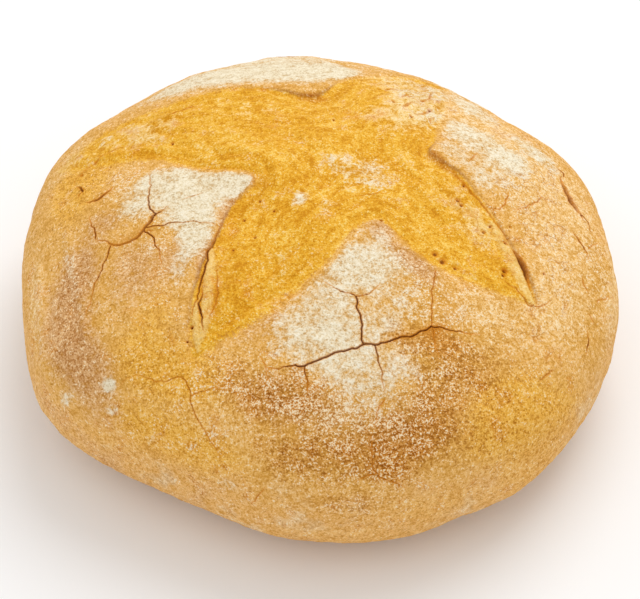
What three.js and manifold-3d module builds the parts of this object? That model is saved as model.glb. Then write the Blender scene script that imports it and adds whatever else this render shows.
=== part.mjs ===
// A round sourdough loaf, cross-cut before baking, as one closed solid.
//
// Units are millimetres, +Z is up, and the origin is on the flat spot the loaf rests on, straight
// under the crown.
// The front of the loaf, where its broadest crust lies, faces -Y.
//
// The loaf is drawn from its heart, a point inside it at the height where it is widest. Every place
// on the crust is found by a direction from the heart: a bearing round the loaf, counter-clockwise
// from +X, and a drop, the angle down from the crown. The drop is 0 at the crown and 90 degrees on
// the widest line. The crust map lays the crust out flat: its two coordinates are the drop, in
// degrees, taken along +X and along +Y.
import * as THREE from "three";
import { mergeVertices } from "three/addons/utils/BufferGeometryUtils.js";
import Module from "manifold-3d";

// ---- Driving dimensions -------------------------------------------------------------------------

const MEAN_DIAMETER = 240; // across the widest line, before the hand-shaped bulges
const HEIGHT = 98; // from the surface it rests on to the crown
const WIDEST_HEIGHT = 36; // where the sides turn from rising outwards to falling inwards
const CROWN_FULLNESS = 2.15; // superellipse power of the dome: 2 is an ellipse, more is boxier
const BELLY_FULLNESS = 3.4; // the same for the part under the widest line
const BELLY_SINK = 1.06; // how far past the table the belly would bulge, as a share of its height
const WAIST = 0.4; // sine of the angle above and below the widest line over which one eases into the other

// How a hand-shaped round departs from a circle in plan: [waves per turn, share along the cosine,
// share along the sine].
const PLAN_BULGES = [
  [1, -0.0015, -0.0135],
  [2, 0.008, -0.03],
  [3, -0.002, -0.007],
  [4, 0.003, 0.011],
  [5, 0.011, 0.006],
  [6, -0.017, -0.001],
];

// The score is the cross-shaped cut, opened by the oven spring into one four-armed field. Each row is
// one point of its outline on the crust map, with the height of the lip there: [map x, map y, lip].
// A lip of 1 is an ear that stands proud, and 0 is an edge that melts into the crust.
const SCORE_OUTLINE = [
  [-33.5, -57, 0.1], // tip of the front-left arm
  [-22.5, -54.5, 0],
  [-8.5, -47.5, 0.05],
  [4.5, -37.5, 0.1],
  [11.5, -28, 0.1],
  [20.5, -21.5, 0.15], // point of the front crust
  [28.5, -30.5, 0.1],
  [38.5, -35.5, 0.1],
  [47, -36.5, 0.1],
  [57.5, -35.5, 0.2], // tip of the front-right arm
  [57.5, -29, 0.5],
  [55.5, -20.5, 0.5],
  [51, -6.5, 0.3],
  [45.5, 3.5, 0.45],
  [37.5, 12.5, 0.8], // shoulder of the right crust
  [39, 22, 0.2],
  [40.5, 34, 0.1],
  [40.5, 46, 0.05],
  [38, 60, 0.05], // tip of the back-right arm
  [27, 61, 0.05],
  [17, 57.5, 0.1],
  [7.5, 51.5, 0.25],
  [-0.5, 44.5, 0.7], // point of the back crust
  [-19.5, 48, 0.25],
  [-40.5, 45, 0.15],
  [-58, 37, 0.05],
  [-72, 24, 0.05], // tip of the back-left arm
  [-63, 17, 0.05],
  [-50.5, 14, 0.05],
  [-39.5, 7, 0.1],
  [-21.5, -1, 0.25], // point of the left crust
  [-28, -11.5, 0.4],
  [-31, -24, 0.55],
  [-34, -35, 0.6],
  [-35, -46, 0.35],
];
const OUTLINE_STEPS = 8; // points on the smoothed outline for each one given above

const LIP_RISE = 1.8; // how far an ear stands above the crust behind it
const LIP_REACH = 11; // how far back from the edge that rise dies away
const SCORE_SINK = 2.4; // how far the opened crumb drops below the crust beside an ear
const SCORE_REACH = 15; // how far from the edge the crumb has swelled back up
const EDGE_SOFTNESS = 2.6; // half the width of the slope from lip to crumb

// Broad lumps left by shaping: [height, waves over the loaf along x, y and z, phase].
const LUMPS = [
  [0.9, 2.1, 1.3, 0.7, 0.4],
  [0.7, -1.6, 2.9, 1.1, 2.1],
  [0.5, 4.1, 2.3, -1.9, 4.0],
];

const FACET_DETAIL = 20; // subdivisions of each icosahedron edge
const STEP_ACROSS = 1e-3; // how far a direction is moved to measure the dome's slope

// ---- The bare dome ------------------------------------------------------------------------------

// The superellipse radius of a section with half-widths a and b, in a direction (u, v).
function superellipse(u, v, a, b, power) {
  return (Math.abs(u / a) ** power + Math.abs(v / b) ** power) ** (-1 / power);
}

// The plan radius of the widest line at a bearing in radians.
function planRadius(bearing) {
  const bulge = PLAN_BULGES.reduce(
    (sum, [waves, cosine, sine]) => sum + cosine * Math.cos(waves * bearing) + sine * Math.sin(waves * bearing),
    1,
  );
  return (MEAN_DIAMETER / 2) * bulge;
}

// The point of the unscored dome in a unit direction from the heart.
function domePoint(direction) {
  const outward = Math.hypot(direction.x, direction.y);
  const radius = planRadius(Math.atan2(direction.y, direction.x));
  const rise = direction.z >= 0 ? HEIGHT - WIDEST_HEIGHT : WIDEST_HEIGHT * BELLY_SINK;
  const crownShare = THREE.MathUtils.smoothstep(direction.z, -WAIST, WAIST);
  const power = THREE.MathUtils.lerp(BELLY_FULLNESS, CROWN_FULLNESS, crownShare);
  const reach = superellipse(outward, direction.z, radius, rise, power);
  return direction.clone().multiplyScalar(reach).add(new THREE.Vector3(0, 0, WIDEST_HEIGHT));
}

// The dome's outward normal in a direction, from two small steps across it.
function domeNormal(direction) {
  const side = new THREE.Vector3(-direction.y, direction.x, 0);
  if (side.lengthSq() < 1e-9) side.set(1, 0, 0);
  side.normalize();
  const down = new THREE.Vector3().crossVectors(side, direction);
  const shifted = (axis) => domePoint(direction.clone().addScaledVector(axis, STEP_ACROSS).normalize());
  const here = domePoint(direction);
  return new THREE.Vector3().crossVectors(shifted(side).sub(here), shifted(down).sub(here)).normalize().negate();
}

// ---- The crust map ------------------------------------------------------------------------------

// A direction from the heart, as a point on the crust map.
function toMap(direction) {
  const drop = THREE.MathUtils.radToDeg(Math.acos(THREE.MathUtils.clamp(direction.z, -1, 1)));
  const outward = Math.hypot(direction.x, direction.y) || 1;
  return new THREE.Vector2((direction.x / outward) * drop, (direction.y / outward) * drop);
}

// The direction from the heart of a point on the crust map.
function fromMap(x, y) {
  const bearing = Math.atan2(y, x);
  const drop = THREE.MathUtils.degToRad(Math.hypot(x, y));
  return new THREE.Vector3(
    Math.sin(drop) * Math.cos(bearing),
    Math.sin(drop) * Math.sin(bearing),
    Math.cos(drop),
  );
}

// ---- The score ----------------------------------------------------------------------------------

// The smoothed outline: for each point its place on the map, its place on the dome and its lip.
function smoothOutline() {
  const given = SCORE_OUTLINE.map(([x, y, lip]) => new THREE.Vector3(x, y, lip));
  const curve = new THREE.CatmullRomCurve3(given, true, "centripetal");
  return curve
    .getPoints(given.length * OUTLINE_STEPS)
    .slice(0, -1)
    .map((p) => ({ map: new THREE.Vector2(p.x, p.y), place: domePoint(fromMap(p.x, p.y)), lip: p.z }));
}

// Whether a point of the map lies inside the closed outline, by counting the edges to its right.
function insideOutline(outline, point) {
  return outline.reduce((inside, { map: a }, i) => {
    const b = outline[(i + 1) % outline.length].map;
    const crosses = a.y > point.y !== b.y > point.y;
    return crosses && point.x < a.x + ((b.x - a.x) * (point.y - a.y)) / (b.y - a.y) ? !inside : inside;
  }, false);
}

// How far a point of the dome is from the outline, negative inside the score, and the lip there.
function edgeOf(outline, direction, place) {
  const nearest = outline.reduce(
    (best, vertex) => {
      const distance = vertex.place.distanceTo(place);
      return distance < best.distance ? { distance, lip: vertex.lip } : best;
    },
    { distance: Infinity, lip: 0 },
  );
  const side = insideOutline(outline, toMap(direction)) ? -1 : 1;
  return { distance: side * nearest.distance, lip: nearest.lip };
}

// The height of the crust above the bare dome that the score gives it: a lip outside, a sunk field
// inside that swells back up towards its middle, and a slope between them.
function scoreRelief({ distance, lip }) {
  const outside = 0.5 + 0.5 * Math.tanh(distance / EDGE_SOFTNESS);
  const rise = LIP_RISE * lip * Math.exp(-Math.max(distance, 0) / LIP_REACH);
  const sink = SCORE_SINK * (0.25 + 0.75 * lip) * Math.exp(Math.min(distance, 0) / SCORE_REACH);
  return outside * rise - (1 - outside) * sink;
}

// The broad lumps of the shaped dough in a direction from the heart, pressed flat under the loaf.
function lumpRelief(direction) {
  const lumps = LUMPS.reduce(
    (sum, [height, x, y, z, phase]) =>
      sum + height * Math.sin(Math.PI * (x * direction.x + y * direction.y + z * direction.z) + phase),
    0,
  );
  return lumps * THREE.MathUtils.smoothstep(direction.z, -WAIST, 0);
}

// ---- The loaf -----------------------------------------------------------------------------------

// The whole crust as one closed surface, still bulging a little below the table.
function crustGeometry() {
  const sphere = new THREE.IcosahedronGeometry(1, FACET_DETAIL);
  sphere.deleteAttribute("normal");
  sphere.deleteAttribute("uv");
  const crust = mergeVertices(sphere, 1e-4);
  const position = crust.getAttribute("position");
  const outline = smoothOutline();
  for (let i = 0; i < position.count; i += 1) {
    const direction = new THREE.Vector3().fromBufferAttribute(position, i).normalize();
    const place = domePoint(direction);
    const relief = scoreRelief(edgeOf(outline, direction, place)) + lumpRelief(direction);
    const crusted = place.addScaledVector(domeNormal(direction), relief);
    position.setXYZ(i, crusted.x, crusted.y, crusted.z);
  }
  return crust;
}

// The crust cut level where it rests on the oven floor, which leaves the flat spot.
async function cutLevel(crust) {
  const wasm = await Module();
  wasm.setup();
  const solidOf = (geometry) =>
    new wasm.Manifold(
      new wasm.Mesh({
        numProp: 3,
        vertProperties: new Float32Array(geometry.getAttribute("position").array),
        triVerts: new Uint32Array(geometry.index.array),
      }),
    );
  const ovenFloor = new THREE.BoxGeometry(2 * MEAN_DIAMETER, 2 * MEAN_DIAMETER, HEIGHT);
  ovenFloor.translate(0, 0, -HEIGHT / 2);
  ovenFloor.deleteAttribute("normal");
  ovenFloor.deleteAttribute("uv");
  const cut = solidOf(crust).subtract(solidOf(mergeVertices(ovenFloor))).getMesh();
  const geometry = new THREE.BufferGeometry()
    .setAttribute("position", new THREE.BufferAttribute(cut.vertProperties, 3))
    .setIndex(new THREE.BufferAttribute(cut.triVerts, 1));
  geometry.computeVertexNormals();
  return geometry;
}

const crustMaterial = new THREE.MeshStandardMaterial({ color: 0xdfa860, roughness: 0.85, metalness: 0 });

const loaf = new THREE.Mesh(await cutLevel(crustGeometry()), crustMaterial);
loaf.name = "loaf";

const part = new THREE.Group();
part.add(loaf);

export default part;
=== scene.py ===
"""A round sourdough loaf: its baked crust, the cross-shaped score that the oven opened, cracks and flour.

The loaf is drawn from its heart, a point inside it at the height where it is widest. Three ways of naming
a place on the crust are used:

- a direction from the heart;
- the crust map, in degrees: the drop, which is the angle down from the crown, taken along +X and along +Y.
  The drop is 0 at the crown and 90 on the widest line;
- the sheet, in millimetres: the crust unrolled from the crown, so that distances on it are those a tape
  laid on the loaf would give.

Lengths are millimetres until a mesh is made. +Z is up and the loaf's front faces -Y.
"""

from __future__ import annotations

import logging
import math
from dataclasses import dataclass, field
from enum import Enum
from typing import Any, Iterable, Sequence, Union

import bpy
import numpy as np
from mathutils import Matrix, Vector, noise
from mathutils.geometry import delaunay_2d_cdt


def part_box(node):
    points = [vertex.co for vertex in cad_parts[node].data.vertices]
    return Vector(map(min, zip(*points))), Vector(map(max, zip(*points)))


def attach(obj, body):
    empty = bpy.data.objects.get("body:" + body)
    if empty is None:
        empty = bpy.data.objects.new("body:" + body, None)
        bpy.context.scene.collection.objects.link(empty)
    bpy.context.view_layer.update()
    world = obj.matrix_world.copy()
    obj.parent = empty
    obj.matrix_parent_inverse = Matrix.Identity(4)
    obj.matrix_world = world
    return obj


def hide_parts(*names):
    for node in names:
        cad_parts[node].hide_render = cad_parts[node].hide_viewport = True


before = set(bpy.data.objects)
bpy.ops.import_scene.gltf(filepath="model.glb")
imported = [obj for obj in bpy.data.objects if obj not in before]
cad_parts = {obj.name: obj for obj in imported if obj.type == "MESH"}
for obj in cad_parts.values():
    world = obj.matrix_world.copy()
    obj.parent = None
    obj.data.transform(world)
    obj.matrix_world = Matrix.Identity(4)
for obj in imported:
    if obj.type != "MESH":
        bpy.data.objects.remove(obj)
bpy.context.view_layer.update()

log = logging.getLogger("sourdough")

METRES = 0.001  # one millimetre
Place = tuple[float, float]
Colour = tuple[float, float, float, float]


# ---- Small helpers ------------------------------------------------------------------------------


def paint(code: str) -> Colour:
    """Turns a screen colour such as "E8B050" into the linear colour that a shader takes.

    Args:
        code: six hexadecimal digits, red first.

    Returns:
        Red, green, blue and an alpha of 1, linear.
    """
    shares = (int(code[i : i + 2], 16) / 255 for i in (0, 2, 4))
    linear = [s / 12.92 if s <= 0.04045 else ((s + 0.055) / 1.055) ** 2.4 for s in shares]
    return (linear[0], linear[1], linear[2], 1.0)


def ease(values: np.ndarray, low: float, high: float) -> np.ndarray:
    """A smooth step: 0 below low, 1 above high.

    Args:
        values: any numbers.
        low: where the step starts.
        high: where the step ends.

    Returns:
        Numbers from 0 to 1.
    """
    share = np.clip((values - low) / (high - low), 0.0, 1.0)
    return share * share * (3.0 - 2.0 * share)


def grain(points: np.ndarray, size: float, seed: float) -> np.ndarray:
    """Smooth random bumps over points in space.

    Args:
        points: places in millimetres, one to a row.
        size: how far apart the bumps are, in millimetres.
        seed: shifts the pattern, so that two grains of one size differ.

    Returns:
        Numbers around 0, mostly between -0.6 and 0.6.
    """
    shift = Vector((seed * 17.1, seed * 5.3, seed * 11.7))
    rows = (points / size).tolist()
    return np.array([noise.noise(Vector(row) + shift) for row in rows])


def layered(points: np.ndarray, layers: Iterable[tuple[float, float, float]]) -> np.ndarray:
    """Several grains laid on each other.

    Args:
        points: places in millimetres, one to a row.
        layers: the height, the size and the seed of each grain.

    Returns:
        Heights, one to a point.
    """
    return sum(height * grain(points, size, seed) for height, size, seed in layers)


def spokes(turns: np.ndarray) -> np.ndarray:
    """Unit vectors on the sheet.

    Args:
        turns: their bearings, as shares of a full turn from +X.

    Returns:
        One vector to a row.
    """
    return np.column_stack([np.cos(turns * math.tau), np.sin(turns * math.tau)])


def polar(sheet: np.ndarray) -> tuple[np.ndarray, np.ndarray]:
    """Splits places on the sheet into their tape from the crown and their bearing.

    Args:
        sheet: places on the sheet.

    Returns:
        Lengths of tape, and unit vectors.
    """
    tape = np.hypot(sheet[:, 0], sheet[:, 1])
    return tape, sheet / np.maximum(tape, 1e-9)[:, None]


# ---- The shape of the loaf ----------------------------------------------------------------------


@dataclass
class Dome:
    """The unscored loaf, sized to the frame's box.

    Attributes:
        width: across the frame's box, along X.
        height: of the frame's box.
        lump_allowance: how much of that height is lumps on top of the bare dome.
        widest_share: height of the widest line, as a share of the bare dome's height.
        crown_fullness: superellipse power above the widest line.
        belly_fullness: the same below it.
        belly_sink: how far past the table the belly would bulge, as a share of its height.
        waist: sine of the angle over which one eases into the other.
        bulges: waves per turn, share along the cosine and share along the sine of the plan.
        lumps: height, waves along x, y and z, and phase of each broad lump.
    """

    width: float
    height: float
    lump_allowance: float = 1.1
    widest_share: float = 36 / 98
    crown_fullness: float = 2.15
    belly_fullness: float = 3.4
    belly_sink: float = 1.06
    waist: float = 0.4
    bulges: tuple = (
        (1, -0.0015, -0.0135), (2, 0.008, -0.03), (3, -0.002, -0.007),
        (4, 0.003, 0.011), (5, 0.011, 0.006), (6, -0.017, -0.001),
    )
    lumps: tuple = ((0.9, 2.1, 1.3, 0.7, 0.4), (0.7, -1.6, 2.9, 1.1, 2.1), (0.5, 4.1, 2.3, -1.9, 4.0))

    def __post_init__(self) -> None:
        """Works out the mean radius and the heart's height from the box."""
        bearings = np.radians(np.arange(0.0, 360.0, 0.5))
        across = self.bulge(bearings) * np.cos(bearings)
        self.radius = self.width / (across.max() - across.min())
        self.crown = self.height - self.lump_allowance
        self.heart = self.crown * self.widest_share

    def bulge(self, bearing: np.ndarray) -> np.ndarray:
        """The plan radius at a bearing, as a share of the mean radius."""
        return 1.0 + sum(c * np.cos(k * bearing) + s * np.sin(k * bearing) for k, c, s in self.bulges)

    def place(self, direction: np.ndarray, round_plan: bool = False) -> np.ndarray:
        """The points of the bare dome in unit directions from the heart.

        Args:
            direction: unit vectors, one to a row.
            round_plan: leaves the bulges out.

        Returns:
            Points in millimetres, one to a row.
        """
        x, y, z = direction.T
        bearing = np.arctan2(y, x)
        wide = self.radius * (1.0 if round_plan else self.bulge(bearing))
        tall = np.where(z >= 0, self.crown - self.heart, self.heart * self.belly_sink)
        crown_share = ease(z, -self.waist, self.waist)
        power = self.belly_fullness + (self.crown_fullness - self.belly_fullness) * crown_share
        reach = (np.abs(np.hypot(x, y) / wide) ** power + np.abs(z / tall) ** power) ** (-1 / power)
        return direction * reach[:, None] + np.array([0.0, 0.0, self.heart])

    def normal(self, direction: np.ndarray) -> np.ndarray:
        """The bare dome's outward unit normals, from two small steps across each direction.

        Args:
            direction: unit vectors, one to a row.

        Returns:
            Unit vectors, one to a row.
        """
        step = 1e-3
        side = np.stack([-direction[:, 1], direction[:, 0], np.zeros(len(direction))], 1)
        length = np.linalg.norm(side, axis=1, keepdims=True)
        side = np.where(length > 1e-6, side / np.maximum(length, 1e-9), np.array([1.0, 0.0, 0.0]))
        down = np.cross(side, direction)
        here = self.place(direction)
        ends = []
        for axis in (side, down):
            moved = direction + step * axis
            ends.append(self.place(moved / np.linalg.norm(moved, axis=1, keepdims=True)) - here)
        facing = -np.cross(ends[0], ends[1])
        return facing / np.linalg.norm(facing, axis=1, keepdims=True)

    def lump_relief(self, direction: np.ndarray) -> np.ndarray:
        """The broad lumps of the shaped dough, pressed flat under the loaf.

        Args:
            direction: unit vectors from the heart, one to a row.

        Returns:
            Heights in millimetres.
        """
        waves = sum(
            height * np.sin(math.pi * (direction @ np.array([x, y, z])) + phase)
            for height, x, y, z, phase in self.lumps
        )
        return waves * ease(direction[:, 2], -self.waist, 0.0)


class CrustMap:
    """Turns places on the crust between directions, the map in degrees and the sheet in millimetres."""

    def __init__(self, dome: Dome) -> None:
        """Measures a round loaf's profile from crown to base.

        Args:
            dome: the bare loaf.
        """
        self.dome = dome
        self.drops = np.linspace(0.0, 180.0, 1441)
        radians = np.radians(self.drops)
        profile = np.stack([np.sin(radians), np.zeros_like(radians), np.cos(radians)], 1)
        places = dome.place(profile, round_plan=True)
        steps = np.linalg.norm(np.diff(places, axis=0), axis=1)
        self.tape = np.concatenate([[0.0], np.cumsum(steps)])
        self.outward = places[:, 0]

    def tape_of(self, drop: np.ndarray) -> np.ndarray:
        """The length of tape from the crown to a drop in degrees."""
        return np.interp(drop, self.drops, self.tape)

    def drop_of(self, tape: np.ndarray) -> np.ndarray:
        """The drop in degrees at a length of tape from the crown."""
        return np.interp(tape, self.tape, self.drops)

    def to_sheet(self, degrees: np.ndarray) -> np.ndarray:
        """Places on the map in degrees, as places on the sheet in millimetres.

        Args:
            degrees: places on the crust map, one to a row.

        Returns:
            Places on the sheet.
        """
        degrees = np.atleast_2d(np.asarray(degrees, float))
        drop = np.hypot(degrees[:, 0], degrees[:, 1])
        return degrees * (self.tape_of(drop) / np.maximum(drop, 1e-9))[:, None]

    def to_direction(self, sheet: np.ndarray) -> np.ndarray:
        """Places on the sheet, as unit directions from the heart.

        Args:
            sheet: places on the sheet.

        Returns:
            Unit vectors, one to a row.
        """
        length = np.hypot(sheet[:, 0], sheet[:, 1])
        drop = np.radians(self.drop_of(length))
        flat = np.sin(drop) / np.maximum(length, 1e-9)
        return np.stack([sheet[:, 0] * flat, sheet[:, 1] * flat, np.cos(drop)], 1)


# ---- Lines on the sheet -------------------------------------------------------------------------


@dataclass
class NearestLine:
    """Where each point lies beside a line.

    Attributes:
        distance: to the line, in millimetres.
        along: how far along the line its nearest point is, as a share of its length.
        station: the same as a number of the line's corners, with a fraction.
    """

    distance: np.ndarray
    along: np.ndarray
    station: np.ndarray


def beside(points: np.ndarray, line: np.ndarray, chunk: int = 4000) -> NearestLine:
    """Measures points against a line on the sheet.

    Args:
        points: places on the sheet.
        line: the line's corners, in order.
        chunk: how many points are measured at once.

    Returns:
        The distance and the nearest place on the line, for each point.
    """
    if not len(points):
        return NearestLine(np.zeros(0), np.zeros(0), np.zeros(0))
    start, span = line[:-1], np.diff(line, axis=0)
    length = np.linalg.norm(span, axis=1)
    before = np.concatenate([[0.0], np.cumsum(length)])
    found: list[list[np.ndarray]] = [[], [], []]
    for first in range(0, len(points), chunk):
        gap = points[first : first + chunk, None] - start
        share = np.clip((gap * span).sum(2) / np.maximum(length**2, 1e-12), 0.0, 1.0)
        away = np.linalg.norm(gap - share[..., None] * span, axis=2)
        best = away.argmin(1)
        rows = np.arange(len(best))
        found[0].append(away[rows, best])
        found[1].append((before[best] + share[rows, best] * length[best]) / before[-1])
        found[2].append(best + share[rows, best])
    return NearestLine(*(np.concatenate(part) for part in found))


def resampled(line: np.ndarray, step: float) -> np.ndarray:
    """A line with its corners about a step apart.

    Args:
        line: corners, one to a row.
        step: the spacing wanted, in millimetres.

    Returns:
        Corners, one to a row.
    """
    length = np.concatenate([[0.0], np.cumsum(np.linalg.norm(np.diff(line, axis=0), axis=1))])
    stations = np.linspace(0.0, length[-1], max(int(length[-1] / step), 2) + 1)
    return np.stack([np.interp(stations, length, column) for column in line.T], 1)


def ragged(line: np.ndarray, share: float, finest: float, seed: int) -> np.ndarray:
    """A line torn rather than drawn: each stretch is halved and its middle pushed aside.

    Args:
        line: corners, one to a row.
        share: how far a middle moves, as a share of its stretch.
        finest: stretches shorter than this are left alone.
        seed: of the random pushes.

    Returns:
        Corners, one to a row.
    """
    random = np.random.default_rng(seed)
    while True:
        span = np.diff(line, axis=0)
        length = np.linalg.norm(span, axis=1)
        if length.max() < finest:
            return line
        across = np.stack([-span[:, 1], span[:, 0]], 1)
        push = random.normal(0.0, share, len(span)).clip(-2 * share, 2 * share)
        middle = line[:-1] + span / 2 + across * push[:, None]
        woven = [line[0]]
        for corner, half, long in zip(line[1:], middle, length):
            woven += [half, corner] if long >= finest else [corner]
        line = np.array(woven)


def closed_curve(corners: np.ndarray, steps: int) -> np.ndarray:
    """A closed centripetal Catmull-Rom curve through corners.

    Args:
        corners: one to a row, of any number of columns.
        steps: points made for each corner.

    Returns:
        Points along the curve, the first not repeated at the end.
    """
    before, here, ahead, beyond = (np.roll(corners, k, axis=0) for k in (1, 0, -1, -2))
    gaps = [np.sqrt(np.linalg.norm(b - a, axis=1, keepdims=True)) for a, b in
            ((before, here), (here, ahead), (ahead, beyond))]
    span = (ahead - here) / gaps[1]
    leave = gaps[1] * ((here - before) / gaps[0] - (ahead - before) / (gaps[0] + gaps[1]) + span)
    arrive = gaps[1] * (span - (beyond - here) / (gaps[1] + gaps[2]) + (beyond - ahead) / gaps[2])
    t = np.linspace(0.0, 1.0, steps, endpoint=False)[None, :, None]
    here, ahead, leave, arrive = (part[:, None] for part in (here, ahead, leave, arrive))
    square = 3 * (ahead - here) - 2 * leave - arrive
    cube = 2 * (here - ahead) + leave + arrive
    return (here + leave * t + square * t**2 + cube * t**3).reshape(-1, corners.shape[1])


# ---- The score ----------------------------------------------------------------------------------


@dataclass
class Score:
    """The cross-shaped cut, opened by the oven into one field with four arms.

    Attributes:
        crust_map: places the outline.
        outline: each corner's place on the crust map and the height of its lip, where 1 is an ear that
            stands proud and 0 is an edge that melts into the crust.
        steps: points on the smoothed outline for each corner.
        lip_rise: how far an ear stands above the crust behind it.
        lip_reach: how far back from the edge that rise dies away.
        sink: how far the opened crumb drops below the crust beside an ear.
        sink_reach: how far from the edge the crumb has swelled back up.
        softness: half the width of the slope from lip to crumb, at an ear and where there is no lip.
        tears: height, size and seed of each grain by which the torn edge strays from the smooth outline.
        tear_reach: how far from the edge that straying dies away.
    """

    crust_map: CrustMap
    outline: tuple = (
        # from the tip of the front-left arm, along the front crust
        (-33.5, -57, 0.1), (-22.5, -54.5, 0), (-8.5, -47.5, 0.05), (4.5, -37.5, 0.1), (11.5, -28, 0.1),
        (20.5, -21.5, 0.15), (28.5, -30.5, 0.1), (38.5, -35.5, 0.1), (47, -36.5, 0.1),
        # from the tip of the front-right arm, along the right crust
        (57.5, -35.5, 0.2), (57.5, -29, 0.5), (55.5, -20.5, 0.5), (51, -6.5, 0.3), (45.5, 3.5, 0.45),
        (37.5, 12.5, 0.8), (39, 22, 0.2), (40.5, 34, 0.1), (40.5, 46, 0.05),
        # from the tip of the back-right arm, along the back crust
        (38, 60, 0.05), (27, 61, 0.05), (17, 57.5, 0.1), (7.5, 51.5, 0.25), (-0.5, 44.5, 0.7),
        (-19.5, 48, 0.25), (-40.5, 45, 0.15), (-58, 37, 0.05),
        # from the tip of the back-left arm, along the left crust
        (-72, 24, 0.05), (-63, 17, 0.05), (-50.5, 14, 0.05), (-39.5, 7, 0.1), (-21.5, -1, 0.25),
        (-28, -11.5, 0.4), (-31, -24, 0.55), (-34, -35, 0.6), (-35, -46, 0.35),
    )
    steps: int = 8
    lip_rise: float = 1.8
    lip_reach: float = 11.0
    sink: float = 2.4
    sink_reach: float = 15.0
    softness: tuple[float, float] = (0.8, 2.6)
    tears: tuple = ((0.9, 8.0, 1.0), (0.18, 3.0, 2.0))
    tear_reach: float = 6.0

    def __post_init__(self) -> None:
        """Lays the smoothed outline on the sheet."""
        curve = closed_curve(np.array(self.outline, float), self.steps)
        curve = np.vstack([curve, curve[:1]])
        self.line = self.crust_map.to_sheet(curve[:, :2])
        self.lips = curve[:, 2].clip(0.0, 1.0)

    def holds(self, points: np.ndarray) -> np.ndarray:
        """Whether each place on the sheet is inside the outline.

        Args:
            points: places on the sheet.

        Returns:
            True or false for each.
        """
        inside = np.zeros(len(points), bool)
        for a, b in zip(self.line, self.line[1:]):
            spans = (a[1] > points[:, 1]) != (b[1] > points[:, 1])
            if spans.any():
                crossing = a[0] + (b[0] - a[0]) * (points[:, 1] - a[1]) / (b[1] - a[1])
                inside ^= spans & (points[:, 0] < crossing)
        return inside

    def measure(self, points: np.ndarray) -> tuple[np.ndarray, np.ndarray]:
        """How far each place is from the outline, negative inside, and how much of a lip is there.

        Args:
            points: places on the sheet.

        Returns:
            The signed distances in millimetres, and the lips from 0 to 1.
        """
        near = beside(points, self.line)
        lip = np.interp(near.station, np.arange(len(self.lips)), self.lips)
        return np.where(self.holds(points), -near.distance, near.distance), lip

    def torn(self, distance: np.ndarray, points: np.ndarray) -> np.ndarray:
        """The distances with the edge torn ragged."""
        flat = np.column_stack([points, np.zeros(len(points))])
        return distance + np.exp(-np.abs(distance) / self.tear_reach) * layered(flat, self.tears)

    def relief(self, distance: np.ndarray, lip: np.ndarray) -> np.ndarray:
        """The height that the score gives the crust: a lip outside and a sunk field inside.

        Args:
            distance: from the outline, negative inside.
            lip: how much of a lip is there, from 0 to 1.

        Returns:
            Heights in millimetres.
        """
        sharp, soft = self.softness
        outside = 0.5 + 0.5 * np.tanh(distance / (soft + (sharp - soft) * np.sqrt(lip)))
        rise = self.lip_rise * lip * np.exp(-np.maximum(distance, 0) / self.lip_reach)
        drop = self.sink * (0.25 + 0.75 * lip) * np.exp(np.minimum(distance, 0) / self.sink_reach)
        return outside * rise - (1 - outside) * drop


# ---- Cracks, strands and pores ------------------------------------------------------------------


class Split(Enum):
    """The kinds of crack in a crust: how high its edges curl, and how dark it is painted inside, partly its
    own brown and partly painted shade.
    """

    GAPE = (0.25, 0.95)
    HAIR = (0.06, 0.7)
    SLIT = (0.0, 1.0)
    FOLD = (0.05, 0.6)


class Ends(Enum):
    """Which ends of a line run out to nothing."""

    BOTH = "both"
    FAR = "far"
    NEITHER = "neither"


@dataclass(frozen=True)
class Crack:
    """One crack.

    Attributes:
        route: its corners on the crust map.
        half_width: from its middle to the foot of its edge, at its widest.
        depth: at its widest.
        kind: what sort of crack it is.
        ends: which ends run out.
    """

    route: tuple[Place, ...]
    half_width: float
    depth: float
    kind: Split = Split.GAPE
    ends: Ends = Ends.FAR

    def share(self, along: np.ndarray) -> np.ndarray:
        """How open the crack is at a share of its length.

        Args:
            along: shares of its length.

        Returns:
            Shares of its full width and depth.
        """
        if self.ends is Ends.NEITHER:
            return np.ones_like(along)
        run_out = along if self.ends is Ends.FAR else np.abs(2 * along - 1)
        return 1.0 - 0.85 * run_out**1.6


@dataclass(frozen=True)
class Strand:
    """A long low ridge: a stretched strand of crumb, or a fold of the crust.

    Attributes:
        route: its corners on the crust map.
        half_width: from its ridge to its foot.
        height: of its ridge.
        crumb: whether it is bare crumb, not a fold of the crust.
    """

    route: tuple[Place, ...]
    half_width: float
    height: float
    crumb: bool = True

    def swell(self, by: "NearestLine") -> np.ndarray:
        """How full the strand is beside its ridge, from 0 at its foot and tapered ends to 1."""
        width = self.half_width * np.sqrt(np.clip(1.0 - np.abs(2 * by.along - 1) ** 2.5, 0.0, 1.0))
        return np.sqrt(np.clip(1.0 - (by.distance / np.maximum(width, 0.05)) ** 2, 0.0, 1.0))


@dataclass(frozen=True)
class Pore:
    """A burst bubble: its place on the crust map, its radius and its depth."""

    place: Place
    radius: float
    depth: float


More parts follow.
